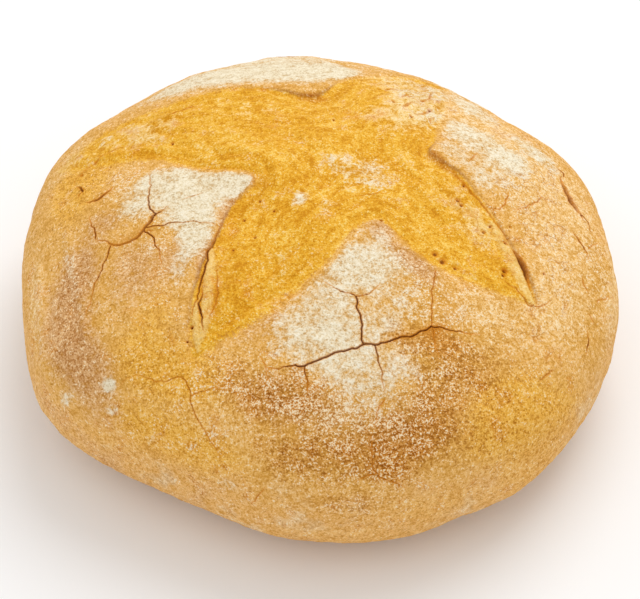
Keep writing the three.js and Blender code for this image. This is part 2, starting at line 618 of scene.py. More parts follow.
LEFT_CRUST_CRACKS = (
    Crack(((-48, -12.6), (-49, -15.5), (-50.5, -18), (-51.3, -19.6), (-53, -20.2), (-55.2, -20), (-57, -19),
           (-58.6, -17), (-61, -14.5)), 0.6, 1.3),
    Crack(((-48, -12.6), (-49.6, -10.5), (-50.2, -7), (-50.4, -2.5), (-50, 1), (-51, 7)), 0.28, 0.6),
    Crack(((-48, -13), (-46.5, -11.5), (-45.3, -9.8)), 0.22, 0.45),
    Crack(((-50, -16.8), (-48, -17), (-44, -17.5), (-41.5, -17.5), (-37, -19), (-33.5, -19.5),
           (-30.5, -21.5)), 0.22, 0.5),
    Crack(((-61, -14.5), (-61.6, -11), (-63, -7.5), (-63.5, -5)), 0.23, 0.5),
    Crack(((-57, -19.4), (-57, -21.5), (-58, -23.6), (-58, -26), (-59, -28.5), (-59, -34), (-59.5, -36)),
          0.22, 0.55),
    Crack(((-50, -18), (-48.5, -19), (-47, -22.5), (-45.5, -26), (-44.4, -29), (-44, -31)), 0.26, 0.59),
    Crack(((-64.6, 1.5), (-63.9, 1.1), (-61.8, 0.2), (-60.6, 1.9), (-59, 5)), 0.7, 1.3, Split.SLIT,
          Ends.BOTH),
    Crack(((-66.8, 5), (-65.7, 6.6), (-65.8, 9), (-67.2, 11.6)), 0.5, 0.8, Split.GAPE, Ends.BOTH),
    Crack(((-67.6, 13), (-68, 14.7), (-65.5, 18.6), (-62, 22), (-55, 25)), 0.34, 0.5, Split.FOLD, Ends.BOTH),
    Crack(((-42, -8), (-39.5, -7.4), (-36.5, -6)), 0.12, 0.23, Split.HAIR, Ends.BOTH),
    Crack(((-50, -18.2), (-49, -17.8), (-47.8, -18.4)), 0.29, 0.45, Split.FOLD, Ends.BOTH),
)

FRONT_CRUST_CRACKS = (
    Crack(((11.5, -47), (11.4, -50), (12.5, -52.5), (12.4, -55.5), (12.6, -57.2)), 0.31, 0.86,
          ends=Ends.NEITHER),
    Crack(((11.5, -47), (9.5, -46.6), (6, -45.4), (2.5, -43.4)), 0.14, 0.32),
    Crack(((11.5, -47), (13.5, -46.8), (16, -45.4), (18.5, -43)), 0.14, 0.32),
    Crack(((12.5, -57.4), (11, -58), (8, -58.6), (5.5, -59.4), (1, -61), (-3, -62), (-5.5, -62)), 0.33, 0.86,
          ends=Ends.NEITHER),
    Crack(((-5.5, -62), (-9, -62.5), (-13.5, -62)), 0.19, 0.41),
    Crack(((12.5, -57.4), (14, -57), (15.5, -57.1), (19, -56), (21.5, -55), (23.5, -54.1), (25, -54.2),
           (26.5, -53.4), (29, -51.4), (30.3, -51)), 0.31, 0.82, ends=Ends.NEITHER),
    Crack(((30.3, -51), (32.5, -50.6), (34.5, -50.6), (38, -50), (42.5, -48.4)), 0.25, 0.55),
    Crack(((15.5, -57), (16, -58.6), (16.6, -60.5), (16.4, -62.5), (17.2, -65)), 0.22, 0.5),
    Crack(((17, -66.5), (15.2, -68), (14.2, -71)), 0.22, 0.27, Split.FOLD),
    Crack(((-3, -62), (-2.4, -63.5), (-2, -67)), 0.19, 0.41),
    Crack(((34.5, -36), (33, -40.5), (31.6, -45.5), (30.4, -51)), 0.16, 0.36, Split.HAIR, Ends.NEITHER),
    Crack(((30.4, -51), (30.5, -53), (31.2, -57)), 0.17, 0.36, Split.HAIR),
    Crack(((-15.5, -59.5), (-13.5, -61.5), (-13, -63.5)), 0.12, 0.18, Split.HAIR, Ends.BOTH),
)

LOWER_CRACKS = (
    Crack(((-33, -64), (-34.4, -61), (-36.5, -59), (-38.5, -59.6), (-41.5, -59), (-44, -57), (-48, -54.6),
           (-50.5, -56)), 0.17, 0.36, Split.HAIR),
    Crack(((-33, -64), (-32.5, -66), (-32, -67.5), (-30, -70), (-28, -72.5), (-25.5, -75.6), (-25, -78)),
          0.17, 0.36, Split.HAIR),
    Crack(((-33, -64), (-30, -63.8), (-26.5, -64), (-23, -64.6)), 0.14, 0.27, Split.HAIR),
    Crack(((-18, -87), (-16, -85.5), (-13, -82.4)), 0.14, 0.23, Split.HAIR, Ends.BOTH),
    Crack(((13.3, -72), (13.5, -76), (14, -78.6), (16.5, -79.5), (19.5, -79.6), (23, -80.6)), 0.19, 0.41,
          Split.HAIR, Ends.BOTH),
    Crack(((14, -78.6), (12, -79.2), (9.5, -80.6)), 0.14, 0.27, Split.HAIR),
    Crack(((54.5, -52.5), (57, -50), (59.2, -47.8)), 0.29, 0.41, Split.FOLD, Ends.BOTH),
)

RIGHT_CRUST_CRACKS = (
    Crack(((68, 16.5), (68.3, 13.3), (69.4, 10.6), (70.5, 7.4), (72.3, 4.2), (73, 2)), 1.5, 2.2, Split.SLIT,
          Ends.BOTH),
    Crack(((72.3, 4.2), (74, 3), (74, -0.5), (75.6, -1.6)), 0.3, 0.5),
    Crack(((67, 20), (69, 18.8), (68.6, 17)), 0.4, 0.6, Split.GAPE, Ends.BOTH),
    Crack(((69.8, -4.6), (70.7, -6.3), (71.5, -9.1), (72.6, -12)), 0.36, 0.7, Split.GAPE, Ends.BOTH),
    Crack(((73, -8), (74.5, -5), (77, -2)), 0.18, 0.27, Split.FOLD),
    Crack(((70, -19), (70, -22), (71, -23.4)), 0.29, 0.41, Split.FOLD, Ends.BOTH),
    Crack(((70, -29), (71.5, -30.6)), 0.29, 0.45, Split.FOLD, Ends.BOTH),
    Crack(((69.5, -33.5), (69.6, -35.5), (68.8, -39.5)), 0.25, 0.45, Split.GAPE, Ends.BOTH),
    Crack(((73, -24), (76, -20), (78.5, -18.4)), 0.17, 0.27, Split.FOLD),
    Crack(((51.5, -8), (54, -7), (55.6, -4), (56.5, 1.5)), 0.26, 0.32, Split.FOLD, Ends.BOTH),
    Crack(((56, -5.5), (58, -5), (61, -2), (63, 1.5), (63.8, 4), (64.5, 2), (66, 0)), 0.22, 0.32, Split.FOLD,
          Ends.BOTH),
    Crack(((49.5, 16), (48, 12.5), (47, 10)), 0.29, 0.27, Split.FOLD, Ends.BOTH),
)

BACK_CRACKS = (
    Crack(((-20, 70), (-13, 73), (-8, 71), (-2, 75), (4, 74)), 0.29, 0.64, Split.GAPE, Ends.BOTH),
    Crack(((-8, 71), (-9, 77), (-6, 82)), 0.22, 0.45),
    Crack(((48, 60), (52, 64), (51, 69), (55, 74)), 0.22, 0.45, Split.HAIR, Ends.BOTH),
    Crack(((-62, 52), (-60, 57), (-63, 62), (-60, 68)), 0.22, 0.45, Split.HAIR, Ends.BOTH),
)

CRUMB_CREASES = (
    Crack(((-44.2, 35.6), (-40.5, 37.7), (-37, 38.9)), 1.2, 1.6, Split.SLIT, Ends.BOTH),
    Crack(((24, 53.6), (28.4, 51.6)), 0.5, 0.6, Split.FOLD, Ends.BOTH),
    Crack(((12.9, -11.5), (18.8, -10), (24.8, -8.5)), 0.15, 0.25, Split.FOLD, Ends.BOTH),
    Crack(((31, 36), (33.5, 34.6), (35, 36), (36.5, 39)), 0.6, 0.9, Split.FOLD, Ends.BOTH),
    Crack(((26, 44), (29, 46), (32, 45.4)), 0.6, 0.8, Split.FOLD, Ends.BOTH),
    Crack(((28, 37), (29.5, 40), (32, 41)), 0.55, 0.8, Split.FOLD, Ends.BOTH),
    Crack(((34, 43), (36, 45), (35, 48), (37, 50)), 0.5, 0.8, Split.FOLD, Ends.BOTH),
    Crack(((22, 47), (24, 49), (27, 49.5)), 0.5, 0.7, Split.FOLD, Ends.BOTH),
    Crack(((37, 30), (36, 33), (38, 35)), 0.45, 0.7, Split.FOLD, Ends.BOTH),
)

LIP_SLITS = (
    Crack(((54.9, -20.2), (56.3, -23.5), (56.9, -27.7), (57, -30.6)), 0.8, 1.7, Split.SLIT, Ends.BOTH),
    Crack(((41.7, 6.7), (44.7, 2.7), (49.2, -4.7), (53.2, -13.5), (55, -19.5)), 0.24, 0.35, Split.HAIR,
          Ends.BOTH),
    Crack(((-30.5, -20), (-31.7, -27.8), (-32.8, -32.5), (-33.2, -37.3), (-33.8, -42.4), (-34.4, -47.6)),
          0.34, 0.8, Split.SLIT, Ends.BOTH),
    Crack(((-32.8, -41.5), (-32.9, -44), (-32.4, -47.6), (-31, -51.8)), 0.4, 0.9, Split.SLIT, Ends.BOTH),
    Crack(((-29.9, -36), (-28.9, -40), (-28.9, -45), (-29.8, -50)), 0.35, 0.5, Split.FOLD, Ends.BOTH),
    Crack(((50.3, -30.2), (51.1, -32), (53.9, -32.6), (54.3, -34.2), (55.9, -36.5), (59, -34.6),
           (61.2, -31.2)), 0.25, 0.5, Split.HAIR, Ends.BOTH),
)

FOLDS = (
    Strand(((-68.5, -5), (-66, -17.7), (-62.8, -27.5), (-60.6, -34.5), (-59, -42)), 3.6, 0.8, crumb=False),
    Strand(((-74.5, -12), (-73, -22), (-70.5, -31), (-70.5, -38), (-68.5, -47)), 4.0, 0.9, crumb=False),
    Strand(((-55, -26), (-52, -36), (-48, -44)), 4.0, 0.5, crumb=False),
    Strand(((76, 2), (78, -10), (77, -22)), 3.5, 0.6, crumb=False),
)

STRANDS = (
    Strand(((-32, -29), (-31.6, -37.8), (-31.2, -43), (-30.9, -49), (-31.4, -54)), 2.2, 0.9),
    Strand(((-33.9, -44), (-33.4, -50), (-32, -56)), 1.5, 0.6),
    Strand(((51.4, -12), (53, -17), (54.3, -23), (55.2, -29.5), (56.6, -36)), 2.6, 0.9),
    Strand(((46, -8), (48.6, -12.5), (50.6, -17.5)), 1.3, 0.4),
)

PORES = (
    # in the front-right arm
    Pore((44.1, -7.2), 1.3, 1.5), Pore((44.8, -9.0), 1.0, 1.2), Pore((53.8, -19.2), 1.1, 1.2),
    Pore((52.2, -28.3), 1.6, 1.9), Pore((51.4, -30.2), 1.0, 1.2), Pore((35.8, -29.4), 1.6, 0.9),
    Pore((37.4, -31.2), 1.7, 1.2), Pore((40.3, -32.4), 1.0, 0.8), Pore((51.2, -14.3), 0.8, 0.8),
    Pore((49.4, -17), 0.9, 0.8), Pore((60.8, -25), 0.8, 0.6), Pore((21.4, -21.0), 0.8, 1.2),
    Pore((46, 0), 0.8, 0.7), Pore((55.5, -13), 0.6, 0.5),
    # in the front-left arm
    Pore((-34.3, -50), 0.9, 1.6), Pore((-35, -53), 0.6, 1.0), Pore((-19.5, -11.5), 0.8, 0.8),
    Pore((-14.5, -17), 0.8, 0.6), Pore((-24, -19), 0.9, 0.7), Pore((-20, -27), 0.8, 0.6),
    Pore((-26, -31), 0.8, 0.6),
    # in the back arms
    Pore((-66, 16), 1.0, 0.8), Pore((36, 38), 1.3, 0.9), Pore((31, 33), 1.1, 0.8), Pore((25, 40), 1.0, 0.7),
    Pore((33.5, 43), 1.2, 0.9), Pore((29, 50), 1.1, 0.8), Pore((38, 44), 1.0, 0.8),
    Pore((-45, 22), 0.9, 0.7), Pore((-28, 38), 0.8, 0.6), Pore((6, 31), 0.7, 0.5),
)


@dataclass
class Cuts:
    """Every crack, strand and pore, laid on the sheet. Lengths are millimetres.

    Attributes:
        crust_map: places them.
        cracks: all of the crust's cracks.
        strands: the strands of the score and the folds of the crust.
        pores: the burst bubbles.
        route_step: between the corners that a crack's route is torn from.
        raggedness: how far a tear strays, as a share of its stretch.
        finest_tear: stretches shorter than this aren't torn further.
        line_step: between a torn crack's corners.
        ridge_step: between a strand's corners.
        shoulder: how far outside a crack's foot its edge has a row of corners.
        pore_rings: share of a pore's radius and number of corners, for each ring of corners in it.
        felt: how far from a crack's middle its curled edge and its stain are worked out.
        wall_power: how a crack's wall bends, where 1 is straight and less is steeper at the foot.
        stain_foot: share of a crack's width that is painted dark in full: partly its own brown, partly
            painted shade.
        stain_fade: how far that painted darkness fades outside that: a length, and a share of the width on
            top.
        curl_reach: how far from its foot a curled edge dies away.
        pore_stain: how dark a pore is painted in its middle: partly its own brown, partly painted shade in
            the hole.
        pore_halo: how far out that painted darkness ends, as a share of its radius.
    """

    crust_map: CrustMap
    cracks: Sequence[Crack]
    strands: Sequence[Strand]
    pores: Sequence[Pore]
    route_step: float = 4.0
    raggedness: float = 0.08
    finest_tear: float = 0.9
    line_step: float = 0.5
    ridge_step: float = 2.0
    shoulder: float = 0.4
    pore_rings: tuple = ((0.0, 1), (0.45, 6), (1.0, 10))
    felt: float = 5.0
    wall_power: float = 0.7
    stain_foot: float = 0.8
    stain_fade: tuple[float, float] = (0.14, 0.35)
    curl_reach: float = 1.1
    pore_stain: float = 0.95
    pore_halo: float = 1.25

    def __post_init__(self) -> None:
        """Lays the lines on the sheet, the cracks torn ragged."""
        self.pore_places = self.crust_map.to_sheet(np.array([pore.place for pore in self.pores]))
        self.lines = []
        for seed, crack in enumerate(self.cracks):
            route = resampled(self.crust_map.to_sheet(crack.route), self.route_step)
            torn = ragged(route, self.raggedness, self.finest_tear, seed)
            self.lines.append(resampled(torn, self.line_step))
        routes = (self.crust_map.to_sheet(strand.route) for strand in self.strands)
        self.ridges = [resampled(route, self.ridge_step) for route in routes]

    def near(self, points: np.ndarray, line: np.ndarray, reach: float) -> tuple[np.ndarray, NearestLine]:
        """The points within reach of a line's box, and where they lie beside the line.

        Args:
            points: places on the sheet.
            line: the line's corners.
            reach: how far outside the line's box points still count.

        Returns:
            Their numbers, and their distances from the line.
        """
        low, high = line.min(0) - reach, line.max(0) + reach
        chosen = np.flatnonzero(((points > low) & (points < high)).all(1))
        return chosen, beside(points[chosen], line)

    def clearance(self, points: np.ndarray, reach: float = 4.0) -> np.ndarray:
        """How far each place is from the nearest crack's foot or pore's rim, up to the reach.

        Args:
            points: places on the sheet.
            reach: the longest distance told.

        Returns:
            Distances in millimetres.
        """
        clear = np.full(len(points), reach)
        for crack, line in zip(self.cracks, self.lines):
            chosen, beside_it = self.near(points, line, reach)
            clear[chosen] = np.minimum(clear[chosen], beside_it.distance - crack.half_width)
        for pore, place in zip(self.pores, self.pore_places):
            clear = np.minimum(clear, np.linalg.norm(points - place, axis=1) - pore.radius)
        return clear

    def stitches(self) -> np.ndarray:
        """Places on the sheet for the crust's corners along each crack: its middle, feet and shoulders.

        Returns:
            Places on the sheet, those round each pore last.
        """
        rows = []
        for crack, line in zip(self.cracks, self.lines):
            span = np.gradient(line, axis=0)
            across = np.column_stack([-span[:, 1], span[:, 0]]) / np.linalg.norm(span, axis=1)[:, None]
            foot = crack.half_width * crack.share(np.linspace(0.0, 1.0, len(line)))[:, None]
            rows.append(line)
            for side in (-1, 1):
                rows.append(line + side * across * foot)
                rows.append(line + side * across * (foot + self.shoulder))
        for pore, place in zip(self.pores, self.pore_places):
            for share, count in self.pore_rings:
                turns = np.arange(count) / count + share / math.tau
                rows.append(place + share * pore.radius * spokes(turns))
        return np.vstack(rows)

    def carve(self, points: np.ndarray) -> tuple[np.ndarray, np.ndarray]:
        """The relief of every crack, strand and pore, and how dark the crust is painted inside them: partly
        its own brown, partly painted shade.

        Args:
            points: places on the sheet.

        Returns:
            Heights in millimetres, and that painted darkness from 0 to 1.
        """
        groove, curl, stain_and_shade, ridge = (np.zeros(len(points)) for _ in range(4))
        for crack, line in zip(self.cracks, self.lines):
            curl_height, brown = crack.kind.value
            chosen, by = self.near(points, line, self.felt)
            open_share = crack.share(by.along)
            foot = np.maximum(crack.half_width * open_share, 0.05)
            inside = np.clip(1.0 - by.distance / foot, 0.0, 1.0)
            groove[chosen] = np.maximum(groove[chosen], crack.depth * open_share * inside**self.wall_power)
            past_foot = np.maximum(by.distance - foot, 0.0)
            lift = curl_height * open_share * np.exp(-((past_foot / self.curl_reach) ** 2))
            curl[chosen] = np.maximum(curl[chosen], lift * (inside < 0.02))
            # painted shade: the dark paint runs up the crack's visible walls, on top of its own brown
            outside = np.maximum(by.distance - self.stain_foot * foot, 0.0)
            fade = np.exp(-outside / (self.stain_fade[0] + self.stain_fade[1] * foot))
            stain_and_shade[chosen] = np.maximum(stain_and_shade[chosen], brown * fade * np.sqrt(open_share))
        for strand, line in zip(self.strands, self.ridges):
            chosen, by = self.near(points, line, strand.half_width)
            ridge[chosen] = np.maximum(ridge[chosen], strand.height * strand.swell(by) ** 1.5)
        for pore, place in zip(self.pores, self.pore_places):
            away = np.linalg.norm(points - place, axis=1) / pore.radius
            groove = np.maximum(groove, pore.depth * np.clip(1.0 - away**2, 0.0, 1.0))
            # painted shade: the middle of each pore is painted dark, on top of its own brown
            stain_and_shade = np.maximum(stain_and_shade, self.pore_stain * np.clip(self.pore_halo - away, 0.0, 1.0))
        return ridge + curl - groove, stain_and_shade

    def strand_cover(self, points: np.ndarray) -> np.ndarray:
        """How much each place belongs to a strand, from 0 to 1.

        Args:
            points: places on the sheet.

        Returns:
            Cover from 0 to 1.
        """
        cover = np.zeros(len(points))
        for strand, line in zip(self.strands, self.ridges):
            if strand.crumb:
                chosen, by = self.near(points, line, strand.half_width)
                cover[chosen] = np.maximum(cover[chosen], ease(strand.swell(by), 0.0, 0.6))
        return cover


# ---- Flour and bake -----------------------------------------------------------------------------


@dataclass(frozen=True)
class Dab:
    """A soft-edged patch on the crust.

    Attributes:
        x: of its middle, on the crust map.
        y: the same.
        across: its half-width in millimetres, across its length.
        long: half its length in millimetres.
        turn: of its length from +X, in degrees.
        amount: how strong it is in the middle, from 0 to 1.
    """

    x: float
    y: float
    across: float
    long: float
    turn: float = 0.0
    amount: float = 1.0


def dabbed(dabs: Iterable[Dab], points: np.ndarray, crust_map: CrustMap) -> np.ndarray:
    """How strongly patches cover each place on the sheet.

    Args:
        dabs: the patches.
        points: places on the sheet.
        crust_map: places the patches.

    Returns:
        Covers from 0 to 1.
    """
    bare = np.ones(len(points))
    for dab in dabs:
        gap = points - crust_map.to_sheet((dab.x, dab.y))
        turn = math.radians(dab.turn)
        along = (gap[:, 0] * math.cos(turn) + gap[:, 1] * math.sin(turn)) / dab.long
        aside = (gap[:, 1] * math.cos(turn) - gap[:, 0] * math.sin(turn)) / dab.across
        bare *= 1.0 - dab.amount * np.exp(-((along**2 + aside**2) ** 1.5))
    return 1.0 - bare


FLOUR = (
    # the left crust
    Dab(-34, -3, 10, 15, -5, 1.0), Dab(-44, -1, 13, 12, 0, 1.0), Dab(-50, 3, 8, 9, 20, 0.8),
    Dab(-51, -9, 8, 10, 0, 0.45), Dab(-38, -11, 7, 9, 60, 0.75), Dab(-37, -23, 7, 13, 80, 0.7),
    Dab(-39, -34, 5, 8, 80, 0.5), Dab(-54, -5, 9, 9, 0, 0.6), Dab(-27, -4, 6, 8, -20, 0.9),
    Dab(-40, -13, 10, 12, 60, 0.9), Dab(-36.5, -22, 7, 12, 80, 0.8),
    # the front crust
    Dab(14, -36, 10, 14, 40, 0.62), Dab(8, -43, 13, 19, 30, 0.65), Dab(-2, -53, 10, 16, 10, 0.62),
    Dab(20, -42, 10, 12, 0, 0.4), Dab(11, -55, 12, 16, 0, 0.6), Dab(12, -63, 9, 14, -10, 0.5),
    Dab(24, -37, 6, 9, -50, 0.3), Dab(26, -47, 8, 10, 0, 0.35), Dab(20, -27, 5, 6, 0, 0.3),
    Dab(3, -60, 11, 15, 0, 0.6), Dab(22, -60, 8, 10, 0, 0.45), Dab(-8, -57, 8, 12, 20, 0.4),
    Dab(14, -67, 8, 12, 0, 0.35), Dab(19, -51, 6, 7, 0, 0.3),
    # the back crust
    Dab(-26, 56, 15, 28, 4, 1.0), Dab(-8, 58, 15, 26, -6, 1.0), Dab(-40, 55, 12, 16, 15, 0.8),
    Dab(-14, 68, 16, 36, 0, 0.7), Dab(5, 58, 11, 13, -20, 1.0),
    # the right crust
    Dab(46, 26, 11, 14, -55, 0.7), Dab(54, 18, 11, 14, -50, 0.65), Dab(53, 8, 9, 12, -60, 0.45),
    Dab(47, 44, 11, 18, -60, 0.7), Dab(62, 24, 9, 14, -50, 0.75), Dab(43, 14, 7, 9, -60, 0.6),
    Dab(49, 4, 6, 9, -60, 0.5), Dab(44, 60, 12, 20, -50, 0.75), Dab(58, 14, 8, 9, 0, 0.6),
)

SPOTS = (
    Dab(-53, -54.5, 3.2, 3.6, 20, 1.0), Dab(-66.5, -51.5, 4, 4, 0, 0.45),
    Dab(-5.5, -13, 3.4, 4.6, 60, 0.75), Dab(19, -2, 8, 12, 0, 0.42), Dab(9, 5, 6, 8, -20, 0.4),
    Dab(20, 6, 5, 7, 0, 0.35), Dab(-24, -82.5, 4, 6, 0, 0.5), Dab(-60, 30, 4, 5, 20, 0.4),
    Dab(-68, 36, 4, 6, 40, 0.45), Dab(-52, 36, 3, 4, 0, 0.3), Dab(4, -16, 4, 6, 40, 0.4),
    Dab(-10, -36, 6, 8, 20, 0.3), Dab(-64, -51.7, 3, 4, 0, 0.4), Dab(-53.7, -59.7, 3.2, 4, 0, 0.45),
    Dab(-45.4, -69.5, 3, 4.4, 0, 0.35), Dab(-60.9, -66, 3, 4, 0, 0.35), Dab(-19.9, -86.4, 3, 5, 0, 0.35),
    Dab(36, 34, 7, 10, 70, 0.55), Dab(38, 50, 8, 12, 90, 0.6), Dab(30, 47, 8, 10, 0, 0.5),
    Dab(30, 56, 7, 12, 0, 0.4), Dab(-66, -19, 2.2, 12, 103, 0.32), Dab(-61.5, -32, 2.4, 10, 106, 0.35),
    Dab(-71, -34, 2.2, 13, 92, 0.3), Dab(-9, -66, 4, 6, 0, 0.25), Dab(-52, -33, 3, 4, 0, 0.35),
    Dab(-47, -26, 3, 4, 0, 0.3),
)

DUSTING = (
    Dab(-9, -66, 12, 26, -12, 0.5), Dab(12, -70, 13, 30, 0, 0.65), Dab(30, -60, 12, 20, 20, 0.42),
    Dab(34, -45, 10, 14, 0, 0.6), Dab(8, -78, 9, 26, 0, 0.4), Dab(-28, -63, 9, 14, 0, 0.3),
    Dab(-46, -22, 10, 14, 60, 0.4), Dab(-56, -4, 9, 12, 0, 0.35), Dab(60, 8, 14, 20, 70, 0.45),
    Dab(33, 44, 9, 16, -60, 0.75), Dab(20, 52, 8, 12, -20, 0.5), Dab(-48, 50, 9, 16, 20, 0.5),
    Dab(64, -14, 12, 22, 80, 0.35), Dab(-24, -50, 6, 14, 10, 0.25), Dab(18, 2, 12, 22, 0, 0.4),
    Dab(10, 70, 18, 50, 0, 0.5), Dab(-45, 68, 18, 36, 40, 0.35), Dab(60, 50, 16, 30, -45, 0.35),
    Dab(0, 12, 40, 60, 0, 0.1), Dab(42, -46, 8, 10, 0, 0.35), Dab(64, 22, 8, 12, -50, 0.55),
    Dab(-56, 6, 10, 14, 80, 0.5), Dab(74, -12, 7, 16, 85, 0.6), Dab(24, -42, 9, 14, -40, 0.5),
    Dab(-66, -20, 7, 24, 100, 0.3), Dab(10, -86, 7, 22, 0, 0.35),
)

BAKE = (
    Dab(17, -73, 9, 12, 0, 0.45), Dab(22, -54, 6, 9, 0, 0.45), Dab(31.5, -55, 10, 13, 0, 0.65),
    Dab(40, -57, 10, 15, 20, 0.65), Dab(-4, -67, 10, 14, 0, 0.75), Dab(29, -64, 9, 13, 10, 0.6),
    Dab(46, -62, 10, 12, 20, 0.35), Dab(38, -68, 8, 12, 20, 0.35), Dab(20.6, -72.7, 11, 16, 0, 0.8),
    Dab(15.8, -76.6, 9, 16, 0, 0.85), Dab(27.8, -68.7, 10, 14, 10, 0.75), Dab(3.5, -75.7, 10, 15, 0, 0.7),
    Dab(-14.5, -67.6, 10, 14, -20, 0.7), Dab(-21.5, -63.3, 9, 11, -20, 0.55),
    Dab(-6.5, -77.5, 8, 14, -10, 0.6), Dab(9, -85, 7, 18, 0, 0.45), Dab(-34, 78, 10, 24, 20, 0.5),
    Dab(30, 80, 9, 30, -20, 0.5), Dab(75, 40, 9, 20, -60, 0.3), Dab(-80, 20, 8, 24, 80, 0.3),
    Dab(-64, -30, 7, 12, 95, 0.3),
)

ROSE = (
    Dab(-64, -24, 12, 17, 85, 0.9), Dab(-64, -38, 13, 20, 105, 0.95), Dab(-58, -49, 12, 16, 120, 0.75),
    Dab(-60, -10, 9, 10, 0, 0.6), Dab(-50, -30, 12, 16, 90, 0.7), Dab(-40, -30, 8, 14, 80, 0.6),
    Dab(-56, -60, 10, 14, 140, 0.5), Dab(30, -36, 6, 14, -40, 0.6), Dab(-16, -54, 8, 16, 10, 0.4),
    Dab(36, -46, 8, 12, 0, 0.4), Dab(-8, -68, 12, 24, -10, 0.5), Dab(16, -70, 14, 26, 0, 0.5),
    Dab(-30, -86, 6, 18, -20, 0.3), Dab(0, -90, 5, 26, 0, 0.3), Dab(-29.5, -13, 3, 13, 76, 0.8),
    Dab(-33.4, -32, 3, 14, 83, 0.8), Dab(21, -25, 6, 7, 0, 0.8), Dab(28, -34, 5, 12, -40, 0.5),
)

HONEY = (
    Dab(56, -72, 10, 16, 45, 0.6), Dab(-70, 12, 8, 14, 90, 0.7), Dab(60, -68, 12, 22, 50, 0.9),
    Dab(46, -60, 10, 14, 20, 0.6), Dab(-38, -58, 14, 28, -30, 0.95), Dab(-32, -74, 12, 26, -20, 0.85),
    Dab(-48, -66, 12, 22, -30, 0.8), Dab(48, -62, 15, 26, 40, 0.95), Dab(61, -60, 14, 26, 50, 0.95),
    Dab(-66, 10, 13, 24, 80, 0.9), Dab(30, -84, 9, 26, 15, 0.6), Dab(-54, 22, 10, 20, 20, 0.7),
    Dab(-44, -46, 9, 14, 60, 0.6), Dab(20, -95, 8, 60, 0, 0.5), Dab(-60, -66, 8, 24, 130, 0.5),
    Dab(70, -66, 8, 30, 50, 0.7),
)

# peach patches: partly the crust's paler bake, partly painted light that brightens the flanks where the
# lamps leave them darker
BLUSH_AND_LIGHT = (
    Dab(66, 4, 22, 34, 90, 1.0), Dab(64, -28, 16, 26, 70, 0.9), Dab(52, 30, 20, 34, -50, 0.9),
    Dab(46, -44, 12, 18, 10, 0.6), Dab(-68, 28, 7, 18, 50, 0.6), Dab(32, -38, 5, 12, -30, 0.5),
    Dab(10, -32, 3, 16, 50, 0.5), Dab(-26, -70, 12, 20, -20, 0.35), Dab(60, 60, 24, 40, -45, 0.8),
    Dab(31, 42, 13, 24, 90, 1.0), Dab(25, 32, 10, 14, 0, 0.6), Dab(-50, 29, 9, 14, 20, 0.7),
    Dab(48, -18, 7, 14, -70, 0.45), Dab(46, -9, 9, 17, -65, 0.4), Dab(44, -42, 8, 12, 0, 0.5),
    Dab(80, -14, 8, 34, 80, 0.8), Dab(-20, 36, 7, 12, 0, 0.3), Dab(17, 2, 10, 14, 0, 0.3),
    Dab(6, 8, 6, 9, 0, 0.25), Dab(-58, 30, 7, 14, 40, 0.4), Dab(24, 55, 8, 14, 0, 0.6),
    Dab(-90, -10, 7, 40, 85, 0.7), Dab(-84, -42, 6, 24, 115, 0.6), Dab(-10, -40, 5, 9, 30, 0.35),
    Dab(-74, -22, 6, 20, 95, 0.8),
)

# rust-brown along the score: partly caramel, partly painted shade in the hollows beside the ears and the
# strands
RUST_AND_SHADE = (
    Dab(-1, 44, 2.5, 8, 0, 0.9), Dab(-14, 47.5, 1.8, 12, 0, 0.5), Dab(40.5, 8, 1.8, 7, -52, 0.9),
    Dab(44.7, 2.7, 1.2, 8, -58, 0.6), Dab(38.2, 11.5, 2, 4, -40, 0.7), Dab(-20.5, -2.5, 4, 6, -30, 0.6),
    Dab(-52, -18, 3, 7, 20, 0.45), Dab(31, -51.5, 3, 7, 20, 0.75), Dab(33, -54, 6, 9, 0, 0.6),
    Dab(22, -54.5, 3, 6, 0, 0.5), Dab(-56, -19, 2.5, 7, 0, 0.45), Dab(-61, 2, 5, 7, 20, 0.5),
    Dab(-28.5, -45, 2, 10, 88, 0.6), Dab(-27, -37, 4, 9, 80, 0.4), Dab(17, -76, 7, 12, 0, 0.35),
    Dab(-30, -50, 1.6, 5, 60, 0.4), Dab(28, -68, 6, 10, 0, 0.35), Dab(4, 38, 6, 14, 0, 0.25),
)

BLISTERS = (
    Dab(34, 42, 12, 22, 90, 1.0), Dab(62, 4, 16, 28, 90, 0.8), Dab(66, -18, 13, 24, 80, 0.8),
    Dab(52, -44, 10, 16, 30, 0.5), Dab(-64, 16, 12, 20, 60, 0.7), Dab(-58, -8, 10, 14, 0, 0.4),
    Dab(-26, -36, 8, 22, 80, 0.5), Dab(48, -20, 8, 18, -70, 0.5), Dab(62, 30, 14, 26, -50, 0.6),
    Dab(30, -42, 8, 14, -20, 0.5), Dab(-50, 36, 9, 20, 20, 0.4),
)

# the patches that are plain masks of the mesh, by the mask's name
PATCHES = {
    "dusting": DUSTING, "bake": BAKE, "rose": ROSE, "honey": HONEY, "blush_and_light": BLUSH_AND_LIGHT, "rust_and_shade": RUST_AND_SHADE,
    "blister": BLISTERS,
}


# ---- The loaf -----------------------------------------------------------------------------------


@dataclass
class Weave:
    """How finely the crust is divided into triangles, in millimetres.

    Attributes:
        broad: between corners on plain crust.
        fine: between corners beside cracks and the score's edge.
        under: between corners on the underside.
        fine_reach: how far from a crack's foot the fine division runs.
        edge_reach: how far from the score's edge it runs.
        clear: how far from a crack's foot the scattered corners stay.
        closest: corners nearer than about this are thinned out.
        scatter: how far a corner strays along its ring and across it, as shares of the spacing.
        seam_drop: where the upper crust meets the underside, in degrees of drop.
    """

    broad: float = 1.4
    fine: float = 0.75
    under: float = 2.4
    fine_reach: float = 2.0
    edge_reach: float = 3.0
    clear: float = 0.7
    closest: float = 0.2
    scatter: tuple[float, float] = (0.18, 0.15)
    seam_drop: float = 112.0


